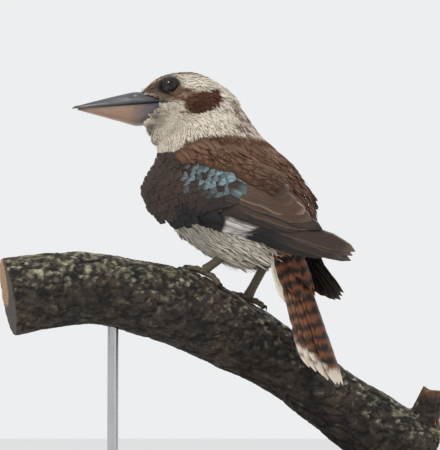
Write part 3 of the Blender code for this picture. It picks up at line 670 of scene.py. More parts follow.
@dataclass
class MeshParts:
    """Points, faces and maps gathered before one mesh is made."""

    points: list = field(default_factory=list)
    triangles: list = field(default_factory=list)
    quads: list = field(default_factory=list)
    colours: dict = field(default_factory=dict)
    maps: dict = field(default_factory=dict)
    count: int = 0

    def add(self, points: Array, quads: Array, triangles: Array, colours: dict,
            maps: dict) -> None:
        """Add one batch, its faces counted from its own first point.

        Args:
            points: world millimetres, one row a point.
            quads: rows of four point numbers.
            triangles: rows of three point numbers.
            colours: colour rows by attribute name.
            maps: pairs of map values, one row a point, by map name.
        """
        self.points.append(points)
        for faces, batch in ((self.quads, quads), (self.triangles, triangles)):
            if len(batch):
                faces.append(np.asarray(batch) + self.count)
        for kept, given in ((self.colours, colours), (self.maps, maps)):
            for name, value in given.items():
                kept.setdefault(name, []).append(value)
        self.count += len(points)

    def add_tube(self, rings: list, frame: Matrix | None = None, colour: Array | None = None,
                 chart_size: float = 1.0) -> None:
        """Add a closed tube.

        Args:
            rings: its rings of points, all with as many points.
            frame: the frame they are in, or None for the world's.
            colour: one colour for its shade and its rim, or None.
            chart_size: share of the vane map that it covers.
        """
        points, quads, triangles, chart = tube_parts(np.array(rings))
        if frame is not None:
            points = world_mm(frame, points)
        names = () if colour is None else ("shade", "rim")
        colours = {name: np.tile(colour, (len(points), 1)) for name in names}
        self.add(points, quads, triangles, colours, {"vane": chart * chart_size})

    def make(self, name: str, material: bpy.types.Material | None = None) -> bpy.types.Object:
        """Make the object.

        Args:
            name: the object's name.
            material: its material.

        Returns:
            The linked object.
        """
        points = np.concatenate(self.points) * MM
        quads = np.concatenate(self.quads) if self.quads else np.zeros((0, 4), int)
        triangles = np.concatenate(self.triangles) if self.triangles else np.zeros((0, 3), int)
        corners = np.concatenate([quads.ravel(), triangles.ravel()]).astype(np.int32)
        starts = np.concatenate([
            np.arange(len(quads)) * 4, len(quads) * 4 + np.arange(len(triangles)) * 3,
        ]).astype(np.int32)
        mesh = bpy.data.meshes.new(name)
        mesh.vertices.add(len(points))
        mesh.vertices.foreach_set("co", points.astype(np.float32).ravel())
        mesh.loops.add(len(corners))
        mesh.loops.foreach_set("vertex_index", corners)
        mesh.polygons.add(len(starts))
        mesh.polygons.foreach_set("loop_start", starts)
        mesh.update(calc_edges=True)
        for key, value in self.colours.items():
            paint(mesh, key, np.concatenate(value))
        for key, value in self.maps.items():
            layer = mesh.uv_layers.new(name=key)
            rows = np.concatenate(value)[corners]
            layer.data.foreach_set("uv", rows.astype(np.float32).ravel())
        mesh.validate()
        mesh.shade_smooth()
        obj = bpy.data.objects.new(name, mesh)
        bpy.context.scene.collection.objects.link(obj)
        if material:
            mesh.materials.append(material)
        return obj


def tube_parts(rings: Array) -> tuple[Array, Array, Array, Array]:
    """Points, faces and a map for a closed tube.

    Args:
        rings: rings of points, shaped (rings, sides, 3).

    Returns:
        Points, quads, end triangles and the vane map.
    """
    count, sides, _ = rings.shape
    quads = []
    for r in range(count - 1):
        for s in range(sides):
            a, b = r * sides + s, r * sides + (s + 1) % sides
            quads.append((a, b, b + sides, a + sides))
    points = np.concatenate([rings.reshape(-1, 3), [rings[0].mean(0), rings[-1].mean(0)]])
    first, last, base = count * sides, count * sides + 1, (count - 1) * sides
    triangles = [(first, (s + 1) % sides, s) for s in range(sides)]
    triangles += [(last, base + s, base + (s + 1) % sides) for s in range(sides)]
    along = np.repeat(np.linspace(0, 1, count), sides)
    across = np.tile(np.abs(np.linspace(-1, 1, sides, endpoint=False)), count)
    chart = np.concatenate([np.stack([across, along], 1), [[0.5, 0.0], [0.5, 1.0]]])
    return points, np.array(quads), np.array(triangles), chart


def smooth_rows(rows: tuple, count: int) -> Array:
    """Rows of sizes resampled on a smooth curve through them.

    Args:
        rows: the rows, each starting with its place along and a height.
        count: how many rows are wanted.

    Returns:
        The new rows, evenly spaced.
    """
    table = np.array(rows, float)
    steps = np.linalg.norm(np.diff(table[:, :2], axis=0), axis=1)
    places = np.concatenate([[0.0], np.cumsum(steps)])
    slopes = np.gradient(table, places, axis=0)
    result = []
    for place in np.linspace(0.0, places[-1], count):
        k = min(int(np.searchsorted(places, place, side="right")) - 1, len(places) - 2)
        h = places[k + 1] - places[k]
        t = (place - places[k]) / h
        result.append(
            (2 * t**3 - 3 * t**2 + 1) * table[k] + (t**3 - 2 * t**2 + t) * h * slopes[k]
            + (3 * t**2 - 2 * t**3) * table[k + 1] + (t**3 - t**2) * h * slopes[k + 1]
        )
    return np.array(result)


def read_mesh(obj: bpy.types.Object) -> tuple[Array, Array, Array]:
    """Points in millimetres, vertex normals and triangles of a mesh."""
    obj.data.calc_loop_triangles()
    return (read_rows(obj.data.vertices, "co") / MM, read_rows(obj.data.vertices, "normal"),
            read_rows(obj.data.loop_triangles, "vertices", np.int32))


def copy_nodes(frame: dict, names: tuple[str, ...], name: str) -> bpy.types.Object:
    """Join copies of some CAD nodes into one new object.

    Args:
        names: the nodes.
        name: the new object's name.

    Returns:
        The object, in metres, at the origin.
    """
    parts = MeshParts()
    for node in names:
        points, _, faces = read_mesh(frame["nodes"][node])
        parts.add(points, [], faces, {}, {})
    return parts.make(name)


def remeshed(obj: bpy.types.Object, voxel: float, rounds: int) -> bpy.types.Object:
    """Remesh an object into even small faces and smooth it.

    Args:
        obj: the object, which is changed.
        voxel: size of the faces.
        rounds: rounds of smoothing.

    Returns:
        The same object.
    """
    merge = obj.modifiers.new("weld", "WELD")
    merge.merge_threshold = 1e-6
    even = obj.modifiers.new("even", "REMESH")
    even.mode = "VOXEL"
    even.voxel_size = voxel * MM
    soft = obj.modifiers.new("soft", "SMOOTH")
    soft.iterations = rounds
    soft.factor = 0.5
    bpy.context.view_layer.update()
    graph = bpy.context.evaluated_depsgraph_get()
    mesh = bpy.data.meshes.new_from_object(obj.evaluated_get(graph))
    obj.modifiers.clear()
    obj.data = mesh
    return obj


def tree_of(obj: bpy.types.Object, matrix: Matrix | None = None) -> BVHTree:
    """A search tree of a mesh, in the millimetres of a frame."""
    points, _, faces = read_mesh(obj)
    if matrix is not None:
        points = local_mm(matrix, points)
    return BVHTree.FromPolygons([Vector(p) for p in points], [tuple(f) for f in faces.tolist()])


def above_collar(bird: Array) -> Array:
    """How far places of the bird frame lie above the edge between neck and mantle."""
    return bird[:, 2] - 72.5 + 0.005 * (bird[:, 0] + 12.0) ** 2


def ahead_of_mantle(bird: Array) -> Array:
    """How far places of the bird frame lie ahead of the mantle's edge on the flank."""
    return bird[:, 0] - (14.0 + 0.55 * (bird[:, 2] - 40.0))


@dataclass(frozen=True)
class Mark:
    """A soft oval mark on the side of the head, which comes in away from its middle line."""

    centre: tuple
    size: tuple
    turn: float
    soft: float
    off_middle: tuple
    colour: tuple = ()
    strength: float = 1.0


class Markings:
    """Colours of the bird's head, neck and body, by place."""

    LORE_AND_EYE = (
        Mark((25, 8.4), (12, 5.6), -6, 0.5, (3, 7), tuple(EAR_BROWN * 0.8), 0.85),
        Mark((12.5, 10.2), (10.8, 8.6), -6, 0.28, (4, 9), tuple(EYE_DARK)),
        Mark((22, -1.9), (10.5, 1.0), 4, 0.5, (9, 12), tuple(EYE_DARK * 2.0), 0.85),
    )
    BAND = Mark((0, 3.0), (13, 6.0), 14, 0.35, (8, 12))
    UNDER_EYE = (Mark((15, 0.8), (14, 2.6), 4, 0.4, (8, 12), tuple(RUFOUS_BAND * 0.8), 0.8),)
    EAR = (((-14.5, -4.0), (15.0, 8.8), -9, 0.16), ((-8, -5), (8.0, 8.5), 0, 0.2),
           ((-24.0, 0.5), (5.5, 7.5), 15, 0.25))
    CHEEK = (
        Mark((0.5, -12.4), (4.2, 1.1), 8, 0.4, (8, 12), tuple(EAR_BROWN), 0.85),
        # Painted shade: a dark smudge where the feathers meet the base of the lower bill
        Mark((22, -17), (7, 2.6), 28, 0.4, (6, 9), tuple(STREAK), 0.3),
    )

    def __init__(self, points: Array, streaky: Array) -> None:
        """Measure the places in the frames of the head and the body.

        Args:
            points: world millimetres.
            streaky: a random number from -1 to 1 for each point's feather.
        """
        self.points, self.streaky = points, streaky
        self.bird = local_mm(BIRD, points)
        self.hx, hy, self.hz = local_mm(HEAD, points).T
        self.wide = np.abs(hy)
        self.grain = waves(np.stack([self.hx * 0.45, hy, self.hz], 1), 5.5, 1)

    @staticmethod
    def at(points: Array, streaky: Array) -> Array:
        """Linear colours of places, the body's laid over the head's."""
        markings = Markings(points, streaky)
        return markings.body(markings.head())

    def oval(self, *form: tuple | float) -> Array:
        """A soft oval on the head by its centre, size, turn and softness."""
        return spot(self.hx, self.hz, *form)

    def reach(self, mark: Mark) -> Array:
        """How strongly each place carries a mark."""
        oval = self.oval(mark.centre, mark.size, mark.turn, mark.soft)
        return oval * smooth(self.wide, *mark.off_middle)

    def marked(self, colour: Array, marks: tuple[Mark, ...]) -> Array:
        """Lay marks over a colour, one after another."""
        for mark in marks:
            colour = mixed(colour, np.array(mark.colour), self.reach(mark) * mark.strength)
        return colour

    def head(self) -> Array:
        """Colours of the head and the neck."""
        hx, hz, wide, streaky, grain = self.hx, self.hz, self.wide, self.streaky, self.grain
        colour = np.tile(CREAM, (len(hx), 1))
        colour = mixed(colour, PALE, 0.5 + 0.4 * waves(self.points, 14.0, 2))
        colour = mixed(colour, GREY_BUFF, self.oval((14, -16), (26, 16), 10, 0.6) * 0.6)
        throat = smooth(-hz, 18, 34) * smooth(hx, 4, 24)
        colour = mixed(colour, GREY_BUFF, throat * 0.55)
        streak = smooth(streaky + 0.5 * grain, 0.35, 1.0)
        strength = 0.2 + 0.45 * self.oval((-36, -16), (18, 22), 40, 0.5)
        colour = mixed(colour, STREAK, streak * strength)
        crown = smooth(hz, 15, 21) * (1.0 - smooth(wide, 8, 14)) * smooth(-hz, -30, -20)
        crown = np.maximum(crown, smooth(hz, 17, 21) * (1.0 - smooth(wide, 9, 16)))
        colour = mixed(colour, EAR_BROWN * 0.9, crown * smooth(streaky, -1.3, -0.3) * 0.9)
        front = self.oval((23, 15), (14, 8), -30, 0.6)
        colour = mixed(colour, RUFOUS_BAND, front * smooth(streaky + grain, -0.9, 0.1) * 0.8)
        nape = np.maximum(self.oval((-53, -24), (11, 19), 35, 0.5),
                          self.oval((-46, -12), (9, 8), 40, 0.5))
        colour = mixed(colour, EAR_BROWN * 1.5, nape * smooth(streaky, -0.5, 0.2) * 0.85)
        colour = self.marked(colour, self.LORE_AND_EYE)
        band = self.reach(self.BAND) * (0.88 + 0.2 * grain)
        colour = self.marked(mixed(colour, RUFOUS_BAND * 0.85, band), self.UNDER_EYE)
        ear = np.max([self.oval(*form) for form in self.EAR], axis=0) * smooth(wide, 8, 12)
        colour = mixed(colour, EAR_BROWN, ear * 1.15 + 0.12 * grain * ear)
        darker = self.oval((-10, -9), (9, 5), -10, 0.5) * ear
        colour = mixed(colour, EAR_BROWN * 0.62, darker * 0.8)
        return self.marked(colour, self.CHEEK)

    def body(self, head: Array) -> Array:
        """Lay the body's colours over the head's, below the neck.

        Args:
            head: colours of the head and neck.

        Returns:
            Colours of the whole bird.
        """
        x, y, z = self.bird.T
        streaky = self.streaky
        patch, fine = waves(self.points, 22.0, 5), waves(self.points, 7.0, 6)
        body = np.tile(BELLY, (len(head), 1))
        body = mixed(body, FLANK, 0.25 + 0.35 * patch + 0.3 * fine)
        body = mixed(body, CREAM, smooth(z, 10, 45) * smooth(x, 20, 50) * 0.55)
        bars = smooth(np.sin(z * 0.9 + x * 0.5 + 2.0 * fine) + streaky * 0.5, 0.5, 1.2)
        flank = smooth(np.abs(y), 16, 34) * (1.0 - smooth(z, 12, 30))
        body = mixed(body, FLANK * 0.75, bars * flank * 0.45)
        collar = above_collar(self.bird)
        colour = mixed(body, head, smooth(collar, -7.0, 1.0))
        mantle = (1.0 - smooth(ahead_of_mantle(self.bird), -9.0, 1.0)) * smooth(
            z + 13.0 * smooth(-x, 46.0, 58.0), -16.0, -4.0)
        mantle *= 1.0 - smooth(collar, -2.5, 1.0)
        mantle *= 1.0 - smooth(np.abs(y), 25.0, 31.0) * (1.0 - smooth(z, 4.0, 14.0))
        brown = mixed(MANTLE, MANTLE_DARK, 0.3 + 0.3 * patch + 0.2 * streaky)
        # Painted light: the mantle grows paler towards the bird's right, the far side; the fine
        # waves vary its tone
        brown = mixed(brown, MANTLE_PALE_AND_LIT, smooth(-y, 8, 34) * 0.35 + 0.15 * fine)
        rump = 1.0 - smooth(z, -4.0, 22.0)
        bar = smooth(np.sin((z + 0.4 * x) * 0.62), -0.1, 0.5)
        brown = mixed(brown, mixed(TAIL_RUFOUS, TAIL_BLACK, bar), rump * 0.85)
        return mixed(colour, brown, mantle)


@dataclass(frozen=True)
class CoatStyle:
    """How one part of the coat grows: sizes in millimetres, the rest as shares."""

    length: float
    width: float
    lift: float
    droop: float
    jitter: float
    thickness: float = 0.35
    vary: float = 0.08


class Coat:
    """Small feathers that grow from the skin as solid tufts."""

    STEPS = np.array([0.0, 0.34, 0.68, 0.9])
    WIDTHS = np.array([0.5, 1.0, 0.82, 0.42])
    REACH = 24.0
    MAP_SIZE = 0.0026
    # How feathers lie near places of a frame: the place, then how much backwards and downwards
    HEAD_LIE = (
        ((36, 0, 0), 1.0, 0.1), ((24, 0, 18), 1.0, -0.5), ((24, 0, -22), 1.0, 0.25),
        ((0, 0, 0), 1.0, 0.12), ((-10, 0, -24), 0.5, 0.8), ((-34, 0, 0), 0.55, 0.75),
        ((14, 0, -34), 0.3, 0.95),
    )
    BODY_LIE = (
        ((62, 0, 45), 0.12, 1.0), ((45, 0, 0), 0.6, 0.8), ((5, 0, -31), 1.0, 0.2),
        ((-40, 0, -37), 0.7, 0.75), ((-15, 0, 85), 0.5, 0.85), ((-35, 0, 62), 0.62, 0.78),
        ((-62, 0, 38), 0.45, 0.9), ((-74, 0, 0), 0.3, 0.95), ((0, 45, 20), 0.75, 0.65),
        ((0, -45, 20), 0.75, 0.65),
    )

    def __init__(self, skin: "Skin", seed: int) -> None:
        """Keep the skin that the coat grows on.

        Args:
            skin: the bird's skin.
            seed: seed of every random draw.
        """
        self.skin = skin
        self.rng = np.random.default_rng(seed)

    def flow(self, points: Array, normals: Array) -> Array:
        """The way feathers lie at each point, along the surface.

        Args:
            points: world millimetres.
            normals: the surface's normals there.

        Returns:
            Directions of length one.
        """
        head_back = np.array([1.0, 0.0, 0.0])
        body_back = np.array([-math.cos(BIRD_YAW), -math.sin(BIRD_YAW), 0.0])
        total = np.zeros_like(points)
        for frame, back, table in ((HEAD, head_back, self.HEAD_LIE),
                                   (BIRD, body_back, self.BODY_LIE)):
            for place, backwards, downwards in table:
                way = back * backwards + np.array([0.0, 0.0, -1.0]) * downwards
                far = np.linalg.norm(points - world_mm(frame, np.array([place], float))[0], axis=1)
                total += bell(far, 0.0, self.REACH)[:, None] * (way / np.linalg.norm(way))
                total += 1e-6 * way
        total -= (total * normals).sum(1)[:, None] * normals
        return unit(total)

    def grow(self, name: str, style: CoatStyle, keep: Callable[[Array, Array], Array],
             count: int, material: bpy.types.Material) -> bpy.types.Object:
        """Grow one piece of the coat.

        Args:
            name: the piece's name.
            style: sizes of its tufts.
            keep: says for each root how likely it carries a tuft, from 0 to 1.
            count: how many roots are tried.
            material: the finish.

        Returns:
            The piece.
        """
        roots, normals = self.skin.scatter(count, self.rng)
        chosen = self.rng.random(len(roots)) < keep(roots, normals)
        return self.tufts(name, style, roots[chosen], normals[chosen], material)

    def tufts(self, name: str, style: CoatStyle, roots: Array, normals: Array,
              material: bpy.types.Material, colours: Array | None = None,
              ways: Array | None = None) -> bpy.types.Object:
        """Make tufts at given roots.

        Args:
            name: the piece's name.
            style: sizes of its tufts.
            roots: world millimetres.
            normals: the surface's normals there.
            material: the finish.
            colours: colour of each tuft, or None for the bird's markings.
            ways: the way each tuft lies, or None for the coat's flow.

        Returns:
            The piece.
        """
        rng, many = self.rng, len(roots)
        way = self.flow(roots, normals) if ways is None else ways
        swing = rng.normal(0, style.jitter, many)
        way = way * np.cos(swing)[:, None] + np.cross(way, normals) * np.sin(swing)[:, None]
        across = unit(np.cross(way, normals))
        long = style.length * rng.uniform(0.8, 1.2, many)
        wide = style.width * rng.uniform(0.8, 1.2, many)
        lift = style.lift * rng.uniform(0.5, 1.5, many)
        streaky = rng.uniform(-1, 1, many)
        if colours is None:
            colours = Markings.at(roots + way * (long * 0.5)[:, None], streaky)
        colours = colours * rng.uniform(1.0 - style.vary, 1.0 + style.vary, (many, 1))
        rings = []
        for step, share in zip(self.STEPS, self.WIDTHS, strict=True):
            rise = long * (lift * step - style.droop * step * step) - 0.6 * (step == 0)
            middle = roots + way * (long * step)[:, None] + normals * rise[:, None]
            half = (wide * share / 2)[:, None]
            top = middle + normals * (style.thickness * (1.0 - 0.6 * step))
            rings.append(np.stack([middle - across * half, top, middle + across * half], 1))
        rise = long * (lift - style.droop)
        tip = roots + way * long[:, None] + normals * rise[:, None]
        points = np.concatenate([np.stack(rings, 1).reshape(many, -1, 3), tip[:, None]], 1)
        size = points.shape[1]
        quads, triangles = self.faces()
        shift = (np.arange(many) * size)[:, None, None]
        chart = np.array([(u, s) for s in self.STEPS for u in (0.0, 0.5, 1.0)] + [(0.5, 1.0)])
        patch = self.skin.unwrap(roots)[:, None] + (chart - 0.5) * self.MAP_SIZE
        parts = MeshParts()
        parts.add(points.reshape(-1, 3), (quads + shift).reshape(-1, 4),
                  (triangles + shift).reshape(-1, 3), {"shade": np.repeat(colours, size, 0)},
                  {"vane": np.tile(chart, (many, 1)), "OFBake": patch.reshape(-1, 2)})
        LOG.info("%s: %d tufts", name, many)
        return parts.make(name, material)

    def faces(self) -> tuple[Array, Array]:
        """Quads and triangles of one tuft: three-sided rings from root to tip."""
        last = (len(self.STEPS) - 1) * 3
        quads = [(r + b, r + a, r + 3 + a, r + 3 + b)
                 for r in range(0, last, 3) for a, b in ((0, 1), (1, 2), (2, 0))]
        tip = last + 3
        triangles = [(0, 1, 2), (last + 1, last, tip), (last + 2, last + 1, tip),
                     (last, last + 2, tip)]
        return np.array(quads), np.array(triangles)


class Skin:
    """One skin over head, neck and torso, inside them by the coat's depth."""

    DEPTH = 2.2
    VOXEL = 1.7
    THROAT_AT = (21.0, 0.0, -30.0)
    THROAT_REACH = 10.0
    FOLD_AT = (22.7, 0.0, -27.0)
    FOLD_SIZE = (6.4, 13.0, 6.4)
    MAP_FROM = (-90.0, -50.0)
    MAP_SPAN = 190.0

    def __init__(self, frame: dict) -> None:
        """Make and colour the skin from the CAD solids of a loaded frame."""
        self.obj = remeshed(copy_nodes(frame, ("head", "neck", "torso"), "skin"), self.VOXEL, 6)
        points = self.shaped(*read_mesh(self.obj)[:2])
        move_points(self.obj, points)
        self.obj.data.update()
        streaky = np.random.default_rng(4).uniform(-1, 1, len(points)) * 0.5
        paint(self.obj.data, "shade", Markings.at(points, streaky))
        self.obj.data.shade_smooth()
        self.obj.data.materials.clear()
        self.obj.data.materials.append(SkinFinish().make())
        self.points, self.normals, self.faces = read_mesh(self.obj)
        corners = self.points[self.faces]
        areas = np.linalg.norm(np.cross(corners[:, 1] - corners[:, 0],
                                        corners[:, 2] - corners[:, 0]), axis=1)
        self.share = np.cumsum(areas) / areas.sum()

    def shaped(self, points: Array, normals: Array) -> Array:
        """Draw the skin in and smooth throat, chin and brow into one line with the bill.

        Args:
            points: world millimetres on the solids.
            normals: their normals.

        Returns:
            The new places.
        """
        head = local_mm(HEAD, points)
        x, _, z = local_mm(BIRD, points).T
        eyes = np.min([np.linalg.norm(head - np.array(EYE_AT) * (1, side, 1), axis=1)
                       for side in (1, -1)], axis=0)
        inset = self.DEPTH * (1.0 - 0.65 * smooth(head[:, 0], 8.0, 34.0)) * smooth(eyes, 7.0, 12.0)
        breast = smooth(x, 18.0, 42.0) * smooth(z, 38.0, 64.0) * (1 - smooth(z, 76.0, 98.0))
        chin = smooth(head[:, 0], 29.0, 36.0) * smooth(-head[:, 2], 19.0, 25.0)
        brow = smooth(head[:, 0], 22.0, 38.0) * smooth(head[:, 2], 2.0, 8.0)
        off = np.linalg.norm(head - np.array(self.THROAT_AT), axis=1)
        throat = bell(off, 0.0, self.THROAT_REACH)
        inset += 5.5 * breast + 4.0 * chin
        points = points - normals * inset[:, None]
        points = points + throat[:, None] * np.array([-5.0, 0.0, -2.6])
        points = points - (2.6 * brow)[:, None] * np.array([0.0, 0.0, 1.0])
        off = (local_mm(HEAD, points) - np.array(self.FOLD_AT)) / np.array(self.FOLD_SIZE)
        fold = np.exp(-(off**2).sum(1))
        head = local_mm(HEAD, points + fold[:, None] * np.array([-5.8, 0.0, -4.0]))
        under = (head[:, 2] < -20.0) & (head[:, 2] > -30.0)
        furthest = 34.0 + 0.75 * (head[:, 2] + 21.0)
        head[under, 0] = np.minimum(head[under, 0], furthest[under])
        return world_mm(HEAD, head)

    def scatter(self, count: int, rng: np.random.Generator) -> tuple[Array, Array]:
        """Random places on the skin, evenly by area.

        Args:
            count: how many.
            rng: random draws.

        Returns:
            The places and their normals.
        """
        pick = np.searchsorted(self.share, (np.arange(count) + rng.random(count)) / count)
        faces = self.faces[np.minimum(pick, len(self.faces) - 1)]
        a, b = rng.random(count), rng.random(count)
        fold = a + b > 1
        a[fold], b[fold] = 1 - a[fold], 1 - b[fold]
        weights = np.stack([1 - a - b, a, b], 1)[..., None]
        points = (self.points[faces] * weights).sum(1)
        normals = (self.normals[faces] * weights).sum(1)
        return points, normals / np.linalg.norm(normals, axis=1)[:, None]

    @staticmethod
    def unwrap(points: Array) -> Array:
        """Where places on the skin lie on its flat map, left and right halves side by side."""
        x, y, z = local_mm(BIRD, points).T
        u = np.clip((x - Skin.MAP_FROM[0]) / Skin.MAP_SPAN, 0, 1) * 0.46 + 0.02
        v = np.clip((z - Skin.MAP_FROM[1]) / Skin.MAP_SPAN, 0, 1) * 0.94 + 0.03
        return np.stack([np.where(y > 0, u, u + 0.5), v], 1)


class Side(Enum):
    """Left or right, as the bird has it."""

    LEFT = "left"
    RIGHT = "right"

    @property
    def sign(self) -> int:
        """1 on the left, where Y of the bird frame is positive, and -1 on the right."""
        return 1 if self is Side.LEFT else -1


class Group(Enum):
    """Groups of feathers on a folded wing."""

    PRIMARIES = "primaries"
    SECONDARIES = "secondaries"
    TERTIALS = "tertials"
    PRIMARY_COVERTS = "primary coverts"
    GREATER_COVERTS = "greater coverts"
    SMALL_COVERTS = "small coverts"


@dataclass(frozen=True)
class VaneForm:
    """Shape of one kind of feather.

    pointed is 0 for a round tip and 1 for a pointed one, tilt says how much one edge stands over
    the other, camber how much the vane arches across.
    """

    pointed: float
    tilt: float = 0.12
    camber: float = 0.10
    thickness: float = 0.5


@dataclass(frozen=True)
class VaneRow:
    """One row of feathers on a folded wing, from its lowest feather to its topmost.

    Roots and tips are (along, up) of the first and the last feather, widths are half widths,
    tier is the height of the row and rise how much it grows over the row.
    """

    group: Group
    count: int
    roots: tuple
    tips: tuple
    widths: tuple
    tier: float
    rise: float
    form: VaneForm
    steps: int

    def between(self, pair: tuple, share: float) -> Array | float:
        """A value between those of the first and the last feather."""
        first, last = (np.array(value) for value in pair)
        return first + (last - first) * share


@dataclass
class VaneSheet:
    """Feather vanes gathered into one mesh, each a thin closed plate."""

    cells: int
    columns: int = 7
    parts: MeshParts = field(default_factory=MeshParts)
    made: int = 0

    def grid(self, steps: int) -> tuple[Array, Array]:
        """Places on one side of a vane: across from -1 to 1, and along from 0 to 1."""
        across = np.tile(np.linspace(-1, 1, self.columns), steps)
        return across, np.repeat(np.linspace(0, 1, steps), self.columns)

    def add(self, path: Array, half_width: float, place: Callable[[Array], Array],
            colours: tuple[Array, Array], form: VaneForm, rng: np.random.Generator) -> None:
        """Add one feather.

        Args:
            path: its middle line, rows of (along, across, lift).
            half_width: half its greatest width.
            place: turns such rows into world millimetres.
            colours: its base and rim colours over the grid.
            form: its shape.
            rng: random draws.
        """
        steps = len(path)
        s, u = np.linspace(0, 1, steps), np.linspace(-1, 1, self.columns)[None]
        start = 0.80 - 0.35 * form.pointed
        t = np.clip((s - start) / (1 - start), 0, 1)
        close = np.sqrt(np.maximum(0.0, 1 - t ** (2.0 - 0.6 * form.pointed)))
        width = half_width * (0.5 + 0.5 * smooth(s, 0.0, 0.4)) * np.maximum(close, 0.04)
        fray = 1.0 + 0.05 * rng.normal(size=(steps, 2))
        fray[0] = 1.0
        fray[rng.random((steps, 2)) < 0.07] *= 0.86
        cross = width[:, None] * u * np.where(u < 0, fray[:, :1], fray[:, 1:])
        way = unit(np.gradient(path[:, :2], axis=0))
        sweep = 0.35 * width[:, None] * u**2 * smooth(s, 0.5, 1.0)[:, None]
        along = path[:, :1] - way[:, 1:] * cross + way[:, :1] * -sweep
        across = path[:, 1:2] + way[:, :1] * cross + way[:, 1:] * -sweep
        lift = path[:, 2:3] + (form.camber * width[:, None] * (1 - u**2) - form.tilt * cross)
        plate = form.thickness * (1 - 0.75 * u**2) * (1 - 0.6 * s[:, None]) + 0.08
        points = place(np.concatenate([
            np.stack([along, across, lift + plate / 2], -1).reshape(-1, 3),
            np.stack([along, across, lift - plate / 2], -1).reshape(-1, 3),
        ]))
        chart = np.stack([np.tile(u[0] * 0.5 + 0.5, steps), np.repeat(s, self.columns)], 1)
        cell = 1.0 / self.cells
        corner = np.array([self.made % self.cells, self.made // self.cells]) * cell
        shown = corner + (chart * 0.88 + 0.06) * cell * np.array([1.0, 0.5])
        under = shown + np.array([0.0, 0.5 * cell])
        named = zip(("shade", "rim"), colours, strict=True)
        self.parts.add(points, self.faces(steps), [],
                       {name: np.tile(rows, (2, 1)) for name, rows in named},
                       {"vane": np.tile(chart, (2, 1)), "OFBake": np.concatenate([shown, under])})
        self.made += 1

    def faces(self, steps: int) -> Array:
        """Quads of a closed plate: its top, its underside and its four edges.

        Args:
            steps: rows of points along it.

        Returns:
            Rows of four point numbers.
        """
        quads = []
        columns, half = self.columns, steps * self.columns
        for r in range(steps - 1):
            for a in range(r * columns, (r + 1) * columns - 1):
                quads.append((a, a + columns, a + columns + 1, a + 1))
                quads.append((half + a + 1, half + a + columns + 1, half + a + columns, half + a))
            for c in (0, columns - 1):
                a, b = r * columns + c, (r + 1) * columns + c
                face = (a, a + half, b + half, b)
                quads.append(face if c == 0 else face[::-1])
        for r in (0, steps - 1):
            for a in range(r * columns, (r + 1) * columns - 1):
                face = (a, a + 1, a + 1 + half, a + half)
                quads.append(face if r == 0 else face[::-1])
        return np.array(quads)


